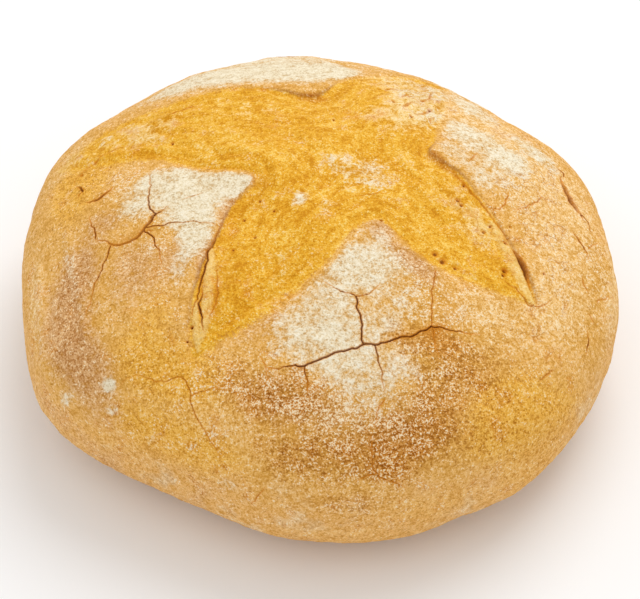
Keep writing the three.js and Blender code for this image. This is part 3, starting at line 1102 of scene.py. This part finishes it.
@dataclass(frozen=True)
class Relief:
    """The small relief of the crust. Each grain is a height, a size and a seed.

    Attributes:
        skin: of plain crust.
        crumb: of the opened crumb.
        ridges: height and seed of the ridges that follow the edge of the score.
        ridge_sizes: across those ridges and along them.
        blister: of blistered crust.
        rings: height and seed of the rings round the flank.
        ring_sizes: across those rings, and how many bumps one radian of a ring has.
        strand_calm: how much of it all is missing on a strand.
    """

    skin: tuple = ((0.55, 13.0, 3.0), (0.28, 5.0, 4.0), (0.13, 2.2, 5.0))
    crumb: tuple = ((0.5, 4.0, 7.0), (0.22, 1.8, 8.0))
    ridges: tuple[float, float] = (0.9, 6.0)
    ridge_sizes: tuple[float, float] = (2.6, 26.0)
    blister: tuple = ((0.7, 3.4, 9.0), (0.35, 1.7, 10.0))
    rings: tuple[float, float] = (0.5, 11.0)
    ring_sizes: tuple[float, float] = (4.5, 6.0)
    strand_calm: float = 0.5

    def heights(self, points: np.ndarray, sheet: np.ndarray, masks: dict[str, np.ndarray]) -> np.ndarray:
        """Works the relief out: blisters and wrinkles, and ridges along the score's arms.

        Args:
            points: of the bare dome.
            sheet: the same places on the sheet.
            masks: numbers by mask.

        Returns:
            Heights in millimetres.
        """
        skin = layered(points, self.skin)
        across, along = self.ridge_sizes
        flow = np.column_stack([masks["edge"] / across, sheet / along])
        crumb = self.ridges[0] * grain(flow, 1.0, self.ridges[1]) + layered(points, self.crumb)
        blister = masks["blister"] * layered(points, self.blister)
        tape, bearing = polar(sheet)
        band, bumps = self.ring_sizes
        flank = np.column_stack([bumps * bearing, tape / band])
        rings = self.rings[0] * grain(flank, 1.0, self.rings[1]) * masks["belt"]
        calm = 1.0 - self.strand_calm * masks["strand"]
        return (skin + (crumb - skin) * masks["opened"] + blister + rings) * calm


@dataclass
class Loaf:
    """The whole loaf, baked as one piece.

    Attributes:
        dome: the unscored shape.
        node: the frame's node that the loaf stands for.
        slot: a material slot's name; not used.
        weave: how finely the crust is divided.
        small_relief: blisters, wrinkles and ridges.
        cracks: every crack in the crust.
        flour_edge: distances from the score between which flour comes in.
        crumb_edge: distances beside an ear between which crumb gives way to crust.
        melt: how many times wider that is where there is no lip, less one.
        belt_drops: between which the rings and patches round the flank come in, in degrees of drop.
        under_drops: between which the bake of the underside comes in.
        sole_drops: between which the small relief dies away.
        flat_drop: past which the loaf lies flat on the table.
        table_ease: height under which the crust bends towards the table instead of through it.
        upper_disc: middle and radius of the upper crust's disc on the picture map.
        lower_disc: the same for the underside.
    """

    dome: Dome
    node: str = "loaf"
    slot: str = "crust"
    weave: Weave = field(default_factory=Weave)
    small_relief: Relief = Relief()
    cracks: tuple[Crack, ...] = (
        LIP_SLITS + CRUMB_CREASES + LEFT_CRUST_CRACKS + FRONT_CRUST_CRACKS + LOWER_CRACKS
        + RIGHT_CRUST_CRACKS + BACK_CRACKS
    )
    flour_edge: tuple[float, float] = (-0.4, 1.4)
    crumb_edge: tuple[float, float] = (-0.9, 0.5)
    melt: float = 6.0
    belt_drops: tuple[float, float] = (78.0, 92.0)
    under_drops: tuple[float, float] = (100.0, 116.0)
    sole_drops: tuple[float, float] = (108.0, 116.0)
    flat_drop: float = 122.0
    table_ease: float = 0.6
    upper_disc: tuple[float, float] = (0.425, 0.42)
    lower_disc: tuple[float, float] = (0.835, 0.155)

    def __post_init__(self) -> None:
        """Lays the score and the cuts on the crust."""
        self.map = CrustMap(self.dome)
        self.score = Score(self.map)
        self.cuts = Cuts(self.map, self.cracks, FOLDS + STRANDS, PORES)
        self.seam = float(self.map.tape_of(np.array(self.weave.seam_drop)))

    # ---- corners of the mesh

    def rings(self, first: float, last: float, spacing: float, seed: int) -> np.ndarray:
        """Corners scattered evenly over a band of the crust.

        Args:
            first: tape from the crown to the band's start.
            last: tape to its end.
            spacing: between corners.
            seed: of the scatter.

        Returns:
            Places on the sheet.
        """
        random = np.random.default_rng(seed)
        along, aside = self.weave.scatter
        made = []
        for tape in np.arange(first, last, spacing * math.sqrt(3) / 2):
            round_it = math.tau * float(np.interp(tape, self.map.tape, self.map.outward))
            count = max(int(round_it / spacing), 5)
            turns = (np.arange(count) + random.random() + random.uniform(-along, along, count)) / count
            length = tape + random.uniform(-aside, aside, count) * spacing
            made.append(length[:, None] * spokes(turns))
        return np.vstack(made)

    def seam_ring(self) -> np.ndarray:
        """The corners that the upper crust and the underside share.

        Returns:
            Places on the sheet.
        """
        outward = float(np.interp(self.seam, self.map.tape, self.map.outward))
        count = int(math.tau * outward / self.weave.broad)
        return self.seam * spokes(np.arange(count) / count)

    def upper_corners(self) -> np.ndarray:
        """Corners of the upper crust: few on plain crust, many beside cracks and the score's edge.

        Returns:
            Places on the sheet, the seam's ring first.
        """
        weave = self.weave
        scattered = []
        for spacing, wanted in ((weave.broad, False), (weave.fine, True)):
            corners = self.rings(spacing / 2, self.seam - 0.8 * weave.broad, spacing, int(spacing * 100))
            clear = self.cuts.clearance(corners)
            edge = beside(corners, self.score.line[::4]).distance
            busy = (clear < weave.fine_reach) | (edge < weave.edge_reach)
            scattered.append(corners[(busy == wanted) & (clear > weave.clear)])
        every = np.vstack([self.cuts.stitches(), *scattered])
        for shift in (0.0, 0.5):
            cells = np.floor(every / weave.closest + shift).astype(int)
            first = np.unique(cells, axis=0, return_index=True)[1]
            every = every[np.sort(first)]
        return np.vstack([self.seam_ring(), every])

    def lower_corners(self) -> np.ndarray:
        """Corners of the underside.

        Returns:
            Places on the sheet, the seam's ring first.
        """
        spacing = self.weave.under
        start = self.seam + 0.8 * spacing
        return np.vstack([self.seam_ring(), self.rings(start, self.map.tape[-1] - spacing / 3, spacing, 7)])

    def plane(self, sheet: np.ndarray, upper: bool) -> np.ndarray:
        """Places on the sheet, spread on a plane where small triangles keep their shape.

        Args:
            sheet: places on the sheet.
            upper: whether they are on the upper crust, seen from above, or on the underside.

        Returns:
            Places on the plane.
        """
        tape, bearing = polar(sheet)
        if upper:
            start = 8  # steps of the profile at the crown that are left flat
            steps = np.diff(self.map.tape[start:]) / self.map.outward[start + 1 :].clip(1.0)
            spread = self.map.tape[start] * np.exp(np.concatenate([[0.0], np.cumsum(steps)]))
            radius = np.interp(tape, np.r_[0.0, self.map.tape[start:]], np.r_[0.0, spread])
        else:
            radius = np.interp(tape, self.map.tape, self.map.outward)
        return bearing * radius[:, None]

    def triangles(self, sheet: np.ndarray, upper: bool) -> np.ndarray:
        """The triangles between corners on the sheet, facing out of the loaf.

        Args:
            sheet: places on the sheet, the seam's ring first.
            upper: whether they are on the upper crust.

        Returns:
            Three corner numbers to a row.
        """
        plane = self.plane(sheet, upper)
        rim = len(self.seam_ring())
        # rounding can lose a corner, so the plane is turned until none is lost
        for turn in np.linspace(0.3, 2.9, 9):
            turned = plane @ np.array([[math.cos(turn), math.sin(turn)], [-math.sin(turn), math.cos(turn)]])
            flat = [Vector(row) for row in turned.tolist()]
            _, _, faces, origins, _, _ = delaunay_2d_cdt(flat, [], [], 0, 1e-7)
            number = np.array([origin[0] for origin in origins])
            found = number[np.array([face[:3] for face in faces])]
            if len(found) == 2 * len(sheet) - 2 - rim and len(np.unique(found)) == len(sheet):
                return found if upper else found[:, ::-1]
        raise RuntimeError("the crust's corners could not be joined into one skin")

    # ---- shape and masks

    def fields(self, sheet: np.ndarray) -> tuple[np.ndarray, dict[str, np.ndarray]]:
        """The crust's points in space, and the masks that its finish reads.

        Args:
            sheet: places on the sheet.

        Returns:
            Points in millimetres, and numbers by mask.
        """
        direction = self.map.to_direction(sheet)
        bare = self.dome.place(direction)
        drop = self.map.drop_of(np.hypot(sheet[:, 0], sheet[:, 1]))
        plain_edge, lip = self.score.measure(sheet)
        edge = self.score.torn(plain_edge, sheet)
        cut, stain_and_shade = self.cuts.carve(sheet)
        blur = 1.0 + self.melt * (1.0 - lip) ** 3
        opened = 1.0 - ease(edge, self.crumb_edge[0] * blur, self.crumb_edge[1] * blur)
        flour = dabbed(FLOUR, sheet, self.map) * ease(edge, *self.flour_edge)
        masks = {
            "edge": edge,
            "opened": opened,
            "lip": lip,
            "flour": np.maximum(flour, dabbed(SPOTS, sheet, self.map)),
            "stain_and_shade": stain_and_shade,
            "strand": self.cuts.strand_cover(sheet),
            "belt": ease(drop, *self.belt_drops),
            "under": ease(drop, *self.under_drops),
        }
        masks |= {name: dabbed(dabs, sheet, self.map) for name, dabs in PATCHES.items()}
        small = self.small_relief.heights(bare, sheet, masks) * (1.0 - ease(drop, *self.sole_drops))
        height = self.dome.lump_relief(direction) + self.score.relief(edge, lip) + cut + small
        points = bare + self.dome.normal(direction) * height[:, None]
        low = self.table_ease
        tall = points[:, 2]
        tall = np.where(tall < low, low * np.exp((tall - low) / low), tall)
        points[:, 2] = np.where(drop > self.flat_drop, 0.0, tall)
        return points, masks

    def bake_map(self, sheet: np.ndarray, upper: bool) -> np.ndarray:
        """Places on the crust's picture map, where the upper crust is one disc and the underside another.

        Args:
            sheet: places on the sheet.
            upper: whether they are on the upper crust.

        Returns:
            Places on the picture map, from 0 to 1 each way.
        """
        tape, bearing = polar(sheet)
        if upper:
            middle, radius = self.upper_disc
            share = tape / self.seam
        else:
            middle, radius = self.lower_disc
            share = (self.map.tape[-1] - tape) / (self.map.tape[-1] - self.seam)
        return middle + bearing * (radius * share)[:, None]

    def build(self) -> bpy.types.Object:
        """Makes the loaf's mesh, with its masks and its picture map.

        Returns:
            The loaf, in the frame's place.
        """
        upper, lower = self.upper_corners(), self.lower_corners()
        rim = len(self.seam_ring())
        top, base = self.triangles(upper, True), self.triangles(lower, False)
        picture = np.vstack(
            [self.bake_map(upper, True)[top.ravel()], self.bake_map(lower, False)[base.ravel()]]
        )
        base = np.where(base < rim, base, base + len(upper) - rim)
        points, masks = self.fields(np.vstack([upper, lower[rim:]]))
        mesh = bpy.data.meshes.new("sourdough_loaf")
        mesh.from_pydata((points * METRES).tolist(), [], np.vstack([top, base]).tolist())
        for name, numbers in masks.items():
            layer = mesh.attributes.new(name, "FLOAT", "POINT")
            layer.data.foreach_set("value", numbers.astype(np.float32))
        uv = mesh.uv_layers.new(name="OFBake")
        uv.uv.foreach_set("vector", picture.astype(np.float32).ravel())
        mesh.shade_smooth()
        loaf = bpy.data.objects.new("sourdough_loaf", mesh)
        bpy.context.scene.collection.objects.link(loaf)
        return loaf

    def place_in_frame(self, loaf: bpy.types.Object) -> None:
        """Puts the loaf on the frame's one body, in place of the plain solid.

        Args:
            loaf: the finished loaf.
        """
        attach(loaf, "root")
        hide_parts(self.node)


# ---- Materials ----------------------------------------------------------------------------------


class Signal:
    """One number, colour or vector inside a material, with the arithmetic that adds its nodes."""

    def __init__(self, board: "Board", socket: bpy.types.NodeSocket) -> None:
        """Wraps a node's output."""
        self.board = board
        self.socket = socket

    def __add__(self, other: "Term") -> "Signal":
        """The sum."""
        return self.board.maths("ADD", self, other)

    def __sub__(self, other: "Term") -> "Signal":
        """The difference."""
        return self.board.maths("SUBTRACT", self, other)

    def __rsub__(self, other: "Term") -> "Signal":
        """The difference, taken from a number."""
        return self.board.maths("SUBTRACT", other, self)

    def __mul__(self, other: "Term") -> "Signal":
        """The product."""
        return self.board.maths("MULTIPLY", self, other)

    __radd__ = __add__
    __rmul__ = __mul__

    def most(self, other: "Term") -> "Signal":
        """The larger of the two."""
        return self.board.maths("MAXIMUM", self, other)

    def size(self) -> "Signal":
        """The number without its sign."""
        return self.board.maths("ABSOLUTE", self, 0.0)

    def beside(self, output: str) -> "Signal":
        """Another output of the same node, by name."""
        return Signal(self.board, self.socket.node.outputs[output])

    def step(self, low: float, high: float) -> "Signal":
        """A smooth step from 0 below low to 1 above high.

        Args:
            low: where the step starts.
            high: where it ends.

        Returns:
            A number from 0 to 1.
        """
        settings = {"interpolation_type": "SMOOTHSTEP"}
        inputs = {"Value": self, "From Min": low, "From Max": high, "To Min": 0.0, "To Max": 1.0}
        return self.board.add("ShaderNodeMapRange", settings, inputs, "Result")


Term = Union[Signal, float, Colour, tuple]


class Board:
    """The node tree of one material."""

    def __init__(self, name: str) -> None:
        """Starts an empty material with its one shader.

        Args:
            name: of the material.
        """
        self.material = bpy.data.materials.new(name)
        self.material.use_nodes = True
        self.tree = self.material.node_tree
        self.tree.nodes.clear()
        self.shader = self.tree.nodes.new("ShaderNodeBsdfPrincipled")
        output = self.tree.nodes.new("ShaderNodeOutputMaterial")
        self.tree.links.new(self.shader.outputs["BSDF"], output.inputs["Surface"])

    def set(self, socket: bpy.types.NodeSocket, value: Term) -> None:
        """Links a signal to a socket, or gives the socket a plain value.

        Args:
            socket: an input of a node.
            value: the signal, or the plain value.
        """
        if isinstance(value, Signal):
            self.tree.links.new(value.socket, socket)
        else:
            socket.default_value = value

    def add(self, kind: str, settings: dict[str, Any], inputs: dict[Any, Term], output: Any = 0) -> Signal:
        """Adds a node.

        Args:
            kind: the node's type.
            settings: its properties, set first.
            inputs: values or signals by the socket's name or number.
            output: the socket that is wanted, by name or number.

        Returns:
            The wanted output.
        """
        node = self.tree.nodes.new(kind)
        for name, value in settings.items():
            setattr(node, name, value)
        for name, value in inputs.items():
            self.set(node.inputs[name], value)
        return Signal(self, node.outputs[output])

    def maths(self, operation: str, first: Term, second: Term) -> Signal:
        """One Math node."""
        return self.add("ShaderNodeMath", {"operation": operation}, {0: first, 1: second})

    def blend(self, share: Term, first: Term, second: Term) -> Signal:
        """The first colour where share is 0, the second where it is 1."""
        return self.add("ShaderNodeMix", {"data_type": "RGBA"}, {0: share, 6: first, 7: second}, 2)

    def grade(self, tone: Signal, tones: "Tones") -> Signal:
        """Dark grains where the tone is -1, the body where it is 0 and light grains where it is 1."""
        darker = self.blend(tone.step(-1.1, 0.1), paint(tones.dark), paint(tones.body))
        return self.blend(tone.step(-0.1, 1.1), darker, paint(tones.light))

    def mask(self, name: str) -> Signal:
        """A number that the mesh holds."""
        return self.add("ShaderNodeAttribute", {"attribute_name": name}, {}, "Fac")

    def cloud(self, place: Signal, size: float, detail: float = 2.0, rough: float = 0.5) -> Signal:
        """Soft random blotches.

        Args:
            place: where, in millimetres.
            size: of a blotch, in millimetres.
            detail: how many finer layers lie on it.
            rough: how strong each finer layer is.

        Returns:
            Numbers around 0, mostly between -1 and 1.
        """
        inputs = {"Vector": place, "Scale": 1.0 / size, "Detail": detail, "Roughness": rough}
        fac = self.add("ShaderNodeTexNoise", {"noise_dimensions": "3D"}, inputs, "Fac")
        return fac * 7.0 - 3.5


class Clouds:
    """Soft random blotches of five sizes that lie over the whole loaf, and mixtures of them.

    Attributes:
        board: the material.
        mm: the place on the loaf, in millimetres.
        blotches: each size of blotch by name.
        grain: the fine grain that every finish is graded by.
        drift: what frays the edges of painted patches.
    """

    # size in millimetres, finer layers and how strong each of those is
    LAYERS = {
        "patch": (24.0, 3.0, 0.5), "mottle": (7.0, 3.0, 0.6), "fleck": (2.6, 3.0, 0.65),
        "speck": (1.2, 2.0, 0.7), "dust": (0.7, 1.0, 0.7),
    }

    def __init__(self, board: Board) -> None:
        """Adds the blotches to a material.

        Args:
            board: the material.
        """
        metres = board.add("ShaderNodeTexCoord", {}, {}, "Object")
        scale = {"Vector": metres, "Scale": 1.0 / METRES}
        self.board = board
        self.mm = board.add("ShaderNodeVectorMath", {"operation": "SCALE"}, scale)
        self.blotches = {name: board.cloud(self.mm, *layers) for name, layers in self.LAYERS.items()}
        self.grain = self.mixed(fleck=0.4, speck=0.55, dust=0.5)
        self.drift = self.mixed(mottle=0.12, fleck=0.14, speck=0.16)

    def mixed(self, **amounts: float) -> Signal:
        """The sum of blotches by name, each times its amount."""
        first, *rest = (self.blotches[name] * amount for name, amount in amounts.items())
        return sum(rest, start=first)


@dataclass(frozen=True)
class Tones:
    """The screen colours of a finish's dark grains, its body and its light grains."""

    dark: str
    body: str
    light: str


@dataclass(frozen=True)
class CrustFinish:
    """The baked crust, the opened crumb and the flour on them.

    Attributes not described here are screen colours, and roughnesses from 0 to 1.

    Attributes:
        specular: how much the crust shines.
        bump_strength: how much of the finest relief shows.
        bump_depth: of the finest relief, in metres.
        streak_sizes: bumps to a millimetre across the crumb's streaks and along them.
        vein_cells: veins and bends to a millimetre of blistered crust.
        vein_bend: how far a vein is bent, in millimetres.
    """

    tan: Tones = Tones("CE933A", "E6B05C", "F6C888")
    honey: Tones = Tones("C6831A", "EAAE42", "F8C86C")
    peach: Tones = Tones("D8A14C", "F0C27C", "FCE2B4")
    rose: Tones = Tones("AE7238", "D5A26A", "F0C895")
    brown: Tones = Tones("8E4C02", "BE741A", "E4AA60")
    belt: Tones = Tones("D29644", "EDB874", "F8CE90")
    crumb: Tones = Tones("CE8808", "E9AC2C", "F9D066")
    pale_crumb: Tones = Tones("DAA84A", "F2CE84", "FDE6B8")
    strand: Tones = Tones("E0AE50", "F2CB7A", "FBE2A8")
    cream: Tones = Tones("D1BB94", "EBDEBF", "F6EDD6")
    dust: Tones = Tones("D6B487", "EBD0A4", "F7E6C4")
    # rust_and_shade: the rust-brown of the score's edges, partly painted shade in its hollows
    rust_and_shade: Tones = Tones("A85800", "CA7C14", "F0BA62")
    hot: Tones = Tones("C8740A", "DF921A", "F0B23E")
    # ember_and_shade: the orange round cracks and pores, partly toasted crust, partly painted shade
    ember_and_shade: str = "D67F0E"
    # char_and_shade: dark brown of crack bottoms and of the painted shadow line under each ear, partly
    # charred crust
    char_and_shade: str = "7C3A02"
    underside: str = "B47A3C"
    vein: str = "C0740E"
    crust_roughness: float = 0.8
    crumb_roughness: float = 0.62
    flour_roughness: float = 0.97
    specular: float = 0.12
    bump_strength: float = 0.6
    bump_depth: float = 0.0004
    streak_sizes: tuple[float, float] = (0.34, 0.055)
    vein_cells: tuple[float, float] = (0.15, 0.16)
    vein_bend: float = 7.0

    def dress(self, loaf: bpy.types.Object) -> None:
        """Gives the loaf its material.

        Args:
            loaf: a mesh that holds the masks.
        """
        board = Board("baked_crust")
        clouds = Clouds(board)
        opened = (board.mask("opened") + clouds.drift).step(0.3, 0.7)
        veins = self.vein_cover(clouds)
        # orange and dark brown in and round cracks and pores: partly their own colour, partly painted shade
        halo = board.mask("stain_and_shade").step(0.08, 0.5)
        flour = self.flour_cover(clouds) * (1.0 - halo * 0.6)
        colour = board.blend(opened, self.crust_colour(clouds), self.crumb_colour(clouds))
        colour = self.toasted(clouds, colour, opened, veins)
        colour = board.blend(halo * 0.6, colour, paint(self.ember_and_shade))
        dust = self.dust_cover(clouds, opened, halo)
        colour = board.blend(dust, colour, board.grade(clouds.grain, self.dust))
        caked = board.grade(clouds.grain + clouds.mixed(mottle=0.3), self.cream)
        colour = board.blend(flour, colour, caked)
        # painted shade in crack bottoms and under each ear, mixed with charred crust
        colour = board.blend(self.char_and_shade_cover(board), colour, paint(self.char_and_shade))
        rough = self.crust_roughness + opened * (self.crumb_roughness - self.crust_roughness)
        rough = rough + flour * (self.flour_roughness - self.crust_roughness)
        height = clouds.mixed(speck=0.3, dust=0.2, fleck=0.3) + flour * 0.6 - veins * 0.8 * (1.0 - opened)
        finest = {"Strength": self.bump_strength, "Distance": self.bump_depth, "Height": height}
        board.set(board.shader.inputs["Base Color"], colour)
        board.set(board.shader.inputs["Roughness"], rough)
        board.set(board.shader.inputs["Specular IOR Level"], self.specular)
        board.set(board.shader.inputs["Normal"], board.add("ShaderNodeBump", {}, finest, "Normal"))
        loaf.data.materials.append(board.material)

    def crust_colour(self, clouds: Clouds) -> Signal:
        """The colour of bare crust: tan, with patches of the other bakes painted over it; the peach patches
        are partly painted light.

        Args:
            clouds: the blotches.

        Returns:
            A colour.
        """
        board = clouds.board
        tone = clouds.grain + clouds.mixed(patch=0.2, mottle=0.3)
        colour = board.grade(tone, self.tan)
        # the blush patches are partly painted light on the flanks
        for name, tones in (("honey", self.honey), ("blush_and_light", self.peach), ("rose", self.rose)):
            share = (board.mask(name) + clouds.drift).step(0.1, 0.9)
            colour = board.blend(share, colour, board.grade(tone, tones))
        belt = board.mask("belt")
        colour = board.blend(belt * 0.5, colour, board.grade(tone, self.belt))
        plain_belt = belt * (1.0 - board.mask("honey"))
        warm = clouds.mixed(patch=0.8, mottle=0.3).step(-0.1, 1.2) * plain_belt
        colour = board.blend(warm * 0.8, colour, board.grade(tone, self.rose))
        pale = clouds.mixed(patch=-0.8, mottle=0.3).step(0.1, 1.3) * plain_belt
        colour = board.blend(pale * 0.7, colour, board.grade(tone, self.dust))
        bake = board.mask("bake") * 0.9 - clouds.grain * 0.2 + clouds.mixed(mottle=0.2)
        colour = board.blend(bake.step(0.0, 1.25), colour, board.grade(tone, self.brown))
        return board.blend(board.mask("under") * 0.7, colour, paint(self.underside))

    def crumb_colour(self, clouds: Clouds) -> Signal:
        """The colour of the opened crumb, streaked along the arms of the score.

        Args:
            clouds: the blotches.

        Returns:
            A colour.
        """
        board = clouds.board
        across, along = self.streak_sizes
        x = board.add("ShaderNodeSeparateXYZ", {}, {0: clouds.mm}, "X")
        flow = {0: board.mask("edge") * across, 1: x * along, 2: x.beside("Y") * along}
        streak = board.cloud(board.add("ShaderNodeCombineXYZ", {}, flow), 1.0, 3.0, 0.6)
        tone = clouds.grain * 0.8 + streak * 0.35 + clouds.mixed(mottle=0.4)
        colour = board.grade(tone, self.crumb)
        # paler crumb under the blush patches, partly painted light
        pale = (board.mask("blush_and_light") + clouds.drift + clouds.mixed(mottle=0.15)).step(0.2, 1.0)
        colour = board.blend(pale, colour, board.grade(tone, self.pale_crumb))
        return board.blend(board.mask("strand") * 0.8, colour, board.grade(clouds.grain * 0.6, self.strand))

    def toasted(self, clouds: Clouds, colour: Signal, opened: Signal, veins: Signal) -> Signal:
        """Adds what the oven's heat left: orange blotches, veins between blisters, and rust-brown along the
        score that is partly caramel and partly painted shade in the hollows beside the ears.

        Args:
            clouds: the blotches.
            colour: the crust and the crumb without them.
            opened: how much of the surface is crumb.
            veins: how much of it is vein.

        Returns:
            A colour.
        """
        board = clouds.board
        hot = clouds.mixed(mottle=0.7, speck=0.35, patch=0.3).step(0.15, 1.3) * (0.5 + opened * 0.2)
        colour = board.blend(hot, colour, board.grade(clouds.grain, self.hot))
        colour = board.blend(veins * 0.6, colour, paint(self.vein))
        # painted shade in the hollows beside the ears, mixed with real rust-brown caramel
        rust_and_shade = (board.mask("rust_and_shade") + clouds.grain * 0.25).step(0.1, 1.0)
        tone = clouds.grain + clouds.mixed(mottle=0.3)
        return board.blend(rust_and_shade * 0.75, colour, board.grade(tone, self.rust_and_shade))

    def vein_cover(self, clouds: Clouds) -> Signal:
        """How much the fine broken veins between blisters cover the surface.

        Args:
            clouds: the blotches.

        Returns:
            Cover from 0 to 1.
        """
        board = clouds.board
        cells, bends = self.vein_cells
        noises = {"Vector": clouds.mm, "Scale": bends, "Detail": 3.0}
        drift = board.add("ShaderNodeTexNoise", {}, noises, "Color")
        bent = {0: drift, 1: (self.vein_bend,) * 3, 2: clouds.mm}
        place = board.add("ShaderNodeVectorMath", {"operation": "MULTIPLY_ADD"}, bent)
        net = {"Vector": place, "Scale": cells}
        gap = board.add("ShaderNodeTexVoronoi", {"feature": "DISTANCE_TO_EDGE"}, net, "Distance")
        blistered = board.mask("blister") * 0.8 + clouds.mixed(mottle=0.5, patch=0.3)
        return (1.0 - gap.step(0.0, 0.05)) * blistered.step(0.1, 1.0)

    def dust_cover(self, clouds: Clouds, opened: Signal, halo: Signal) -> Signal:
        """How much loose dust of flour covers the surface.

        Args:
            clouds: the blotches.
            opened: how much of the surface is crumb, which holds less dust.
            halo: how much of it is painted darker round a crack or pore, partly painted shade, which holds
                none.

        Returns:
            Cover from 0 to 1.
        """
        specks = clouds.board.mask("dusting") + clouds.mixed(fleck=0.1, speck=0.3, dust=0.6, mottle=0.3)
        return specks.step(0.55, 1.3) * (0.85 - opened * 0.45) * (1.0 - halo)

    def flour_cover(self, clouds: Clouds) -> Signal:
        """How much caked flour covers the surface, from 0 to 1."""
        worn = clouds.mixed(mottle=0.12, fleck=0.12, speck=0.12)
        return (clouds.board.mask("flour") + worn).step(0.2, 0.95) * 0.93

    def char_and_shade_cover(self, board: Board) -> Signal:
        """How much of the surface is painted dark brown: the bottoms of cracks and pores, partly charred and
        partly painted shade, and a painted shadow line along each ear's edge, partly caramel.

        Args:
            board: the material.

        Returns:
            Cover from 0 to 1.
        """
        # painted shadow line under each ear's edge, partly its own caramel
        line = board.mask("lip").step(0.1, 0.6) * (1.0 - board.mask("edge").size().step(0.1, 1.0))
        return board.mask("stain_and_shade").step(0.5, 0.95).most(line * 0.4) * 0.9


# ---- The studio ---------------------------------------------------------------------------------


@dataclass(frozen=True)
class Lamp:
    """One soft lamp that faces the loaf.

    Attributes:
        name: of the lamp.
        bearing: round the loaf from +X, in degrees.
        height: above the table, in degrees.
        reach: from the loaf, in metres.
        size: across the lamp, in metres.
        watts: its power.
    """

    name: str
    bearing: float
    height: float
    reach: float
    size: float
    watts: float

    def hang(self) -> None:
        """Adds the lamp to the scene."""
        light = bpy.data.lights.new(self.name, "AREA")
        light.shape = "DISK"
        light.size = self.size
        light.energy = self.watts
        lamp = bpy.data.objects.new(self.name, light)
        turn, tilt = math.radians(self.bearing), math.radians(self.height)
        toward = Vector((math.cos(turn) * math.cos(tilt), math.sin(turn) * math.cos(tilt), math.sin(tilt)))
        lamp.location = toward * self.reach
        lamp.rotation_euler = toward.to_track_quat("Z", "Y").to_euler()
        bpy.context.scene.collection.objects.link(lamp)


@dataclass
class Studio:
    """A plain pale floor, soft light and the camera.

    Attributes:
        aim: the point that the camera looks at, in metres.
        elevation: of the camera above the table, in degrees.
        distance: of the camera from its aim, in metres.
        lens: focal length in millimetres.
        sensor: its width, in millimetres.
        floor_size: across the floor, in metres.
        floor_gap: below the loaf, in metres.
        floor_grey: how pale the floor is, from 0 to 1.
        sky: strength of the even light from all round.
        lamps: the lamps, the brighter one above and behind the loaf on its right.
    """

    aim: tuple[float, float, float] = (0.0014, 0.0, 0.0272)
    elevation: float = 46.0
    distance: float = 0.88
    lens: float = 120.0
    sensor: float = 36.0
    floor_size: float = 8.0
    floor_gap: float = 0.0002
    floor_grey: float = 0.93
    sky: float = 0.79
    lamps: tuple[Lamp, ...] = (
        Lamp("key", 60.0, 58.0, 1.6, 1.2, 10.0),
        Lamp("fill", 220.0, 40.0, 1.8, 1.4, 2.0),
    )

    def place_camera(self) -> None:
        """Sets the camera and makes it the scene's."""
        lens = bpy.data.cameras.new("camera")
        lens.lens = self.lens
        lens.sensor_width = self.sensor
        camera = bpy.data.objects.new("camera", lens)
        tilt = math.radians(self.elevation)
        back = Vector((0.0, -math.cos(tilt), math.sin(tilt)))
        camera.location = Vector(self.aim) + back * self.distance
        camera.rotation_euler = (math.pi / 2 - tilt, 0.0, 0.0)
        bpy.context.scene.collection.objects.link(camera)
        bpy.context.scene.camera = camera

    def lay_floor(self) -> None:
        """Lays the floor that the loaf stands on."""
        half = self.floor_size / 2
        mesh = bpy.data.meshes.new("floor")
        corners = [(-half, -half, 0), (half, -half, 0), (half, half, 0), (-half, half, 0)]
        mesh.from_pydata(corners, [], [(0, 1, 2, 3)])
        floor = bpy.data.objects.new("floor", mesh)
        floor.location.z = -self.floor_gap
        board = Board("pale_floor")
        board.set(board.shader.inputs["Base Color"], (self.floor_grey,) * 3 + (1.0,))
        board.set(board.shader.inputs["Roughness"], 1.0)
        board.set(board.shader.inputs["Specular IOR Level"], 0.0)
        mesh.materials.append(board.material)
        bpy.context.scene.collection.objects.link(floor)

    def set_light(self) -> None:
        """Lights the loaf softly, with even light all round and the lamps."""
        world = bpy.data.worlds.new("studio")
        world.use_nodes = True
        background = world.node_tree.nodes["Background"]
        background.inputs["Color"].default_value = (1.0, 1.0, 1.0, 1.0)
        background.inputs["Strength"].default_value = self.sky
        bpy.context.scene.world = world
        for lamp in self.lamps:
            lamp.hang()
        bpy.context.scene.view_settings.view_transform = "Standard"


def main() -> None:
    """Builds the loaf and the studio, and writes how big the result is."""
    studio = Studio()
    studio.place_camera()
    studio.lay_floor()
    studio.set_light()
    low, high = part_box("loaf")
    dome = Dome(width=(high.x - low.x) / METRES, height=(high.z - low.z) / METRES)
    loaf_maker = Loaf(dome)
    loaf = loaf_maker.build()
    CrustFinish().dress(loaf)
    loaf_maker.place_in_frame(loaf)
    log.info("%s: %d triangles", loaf.name, len(loaf.data.polygons))


if __name__ == "__main__":
    logging.basicConfig(level=logging.INFO, format="%(name)s: %(message)s")
    main()
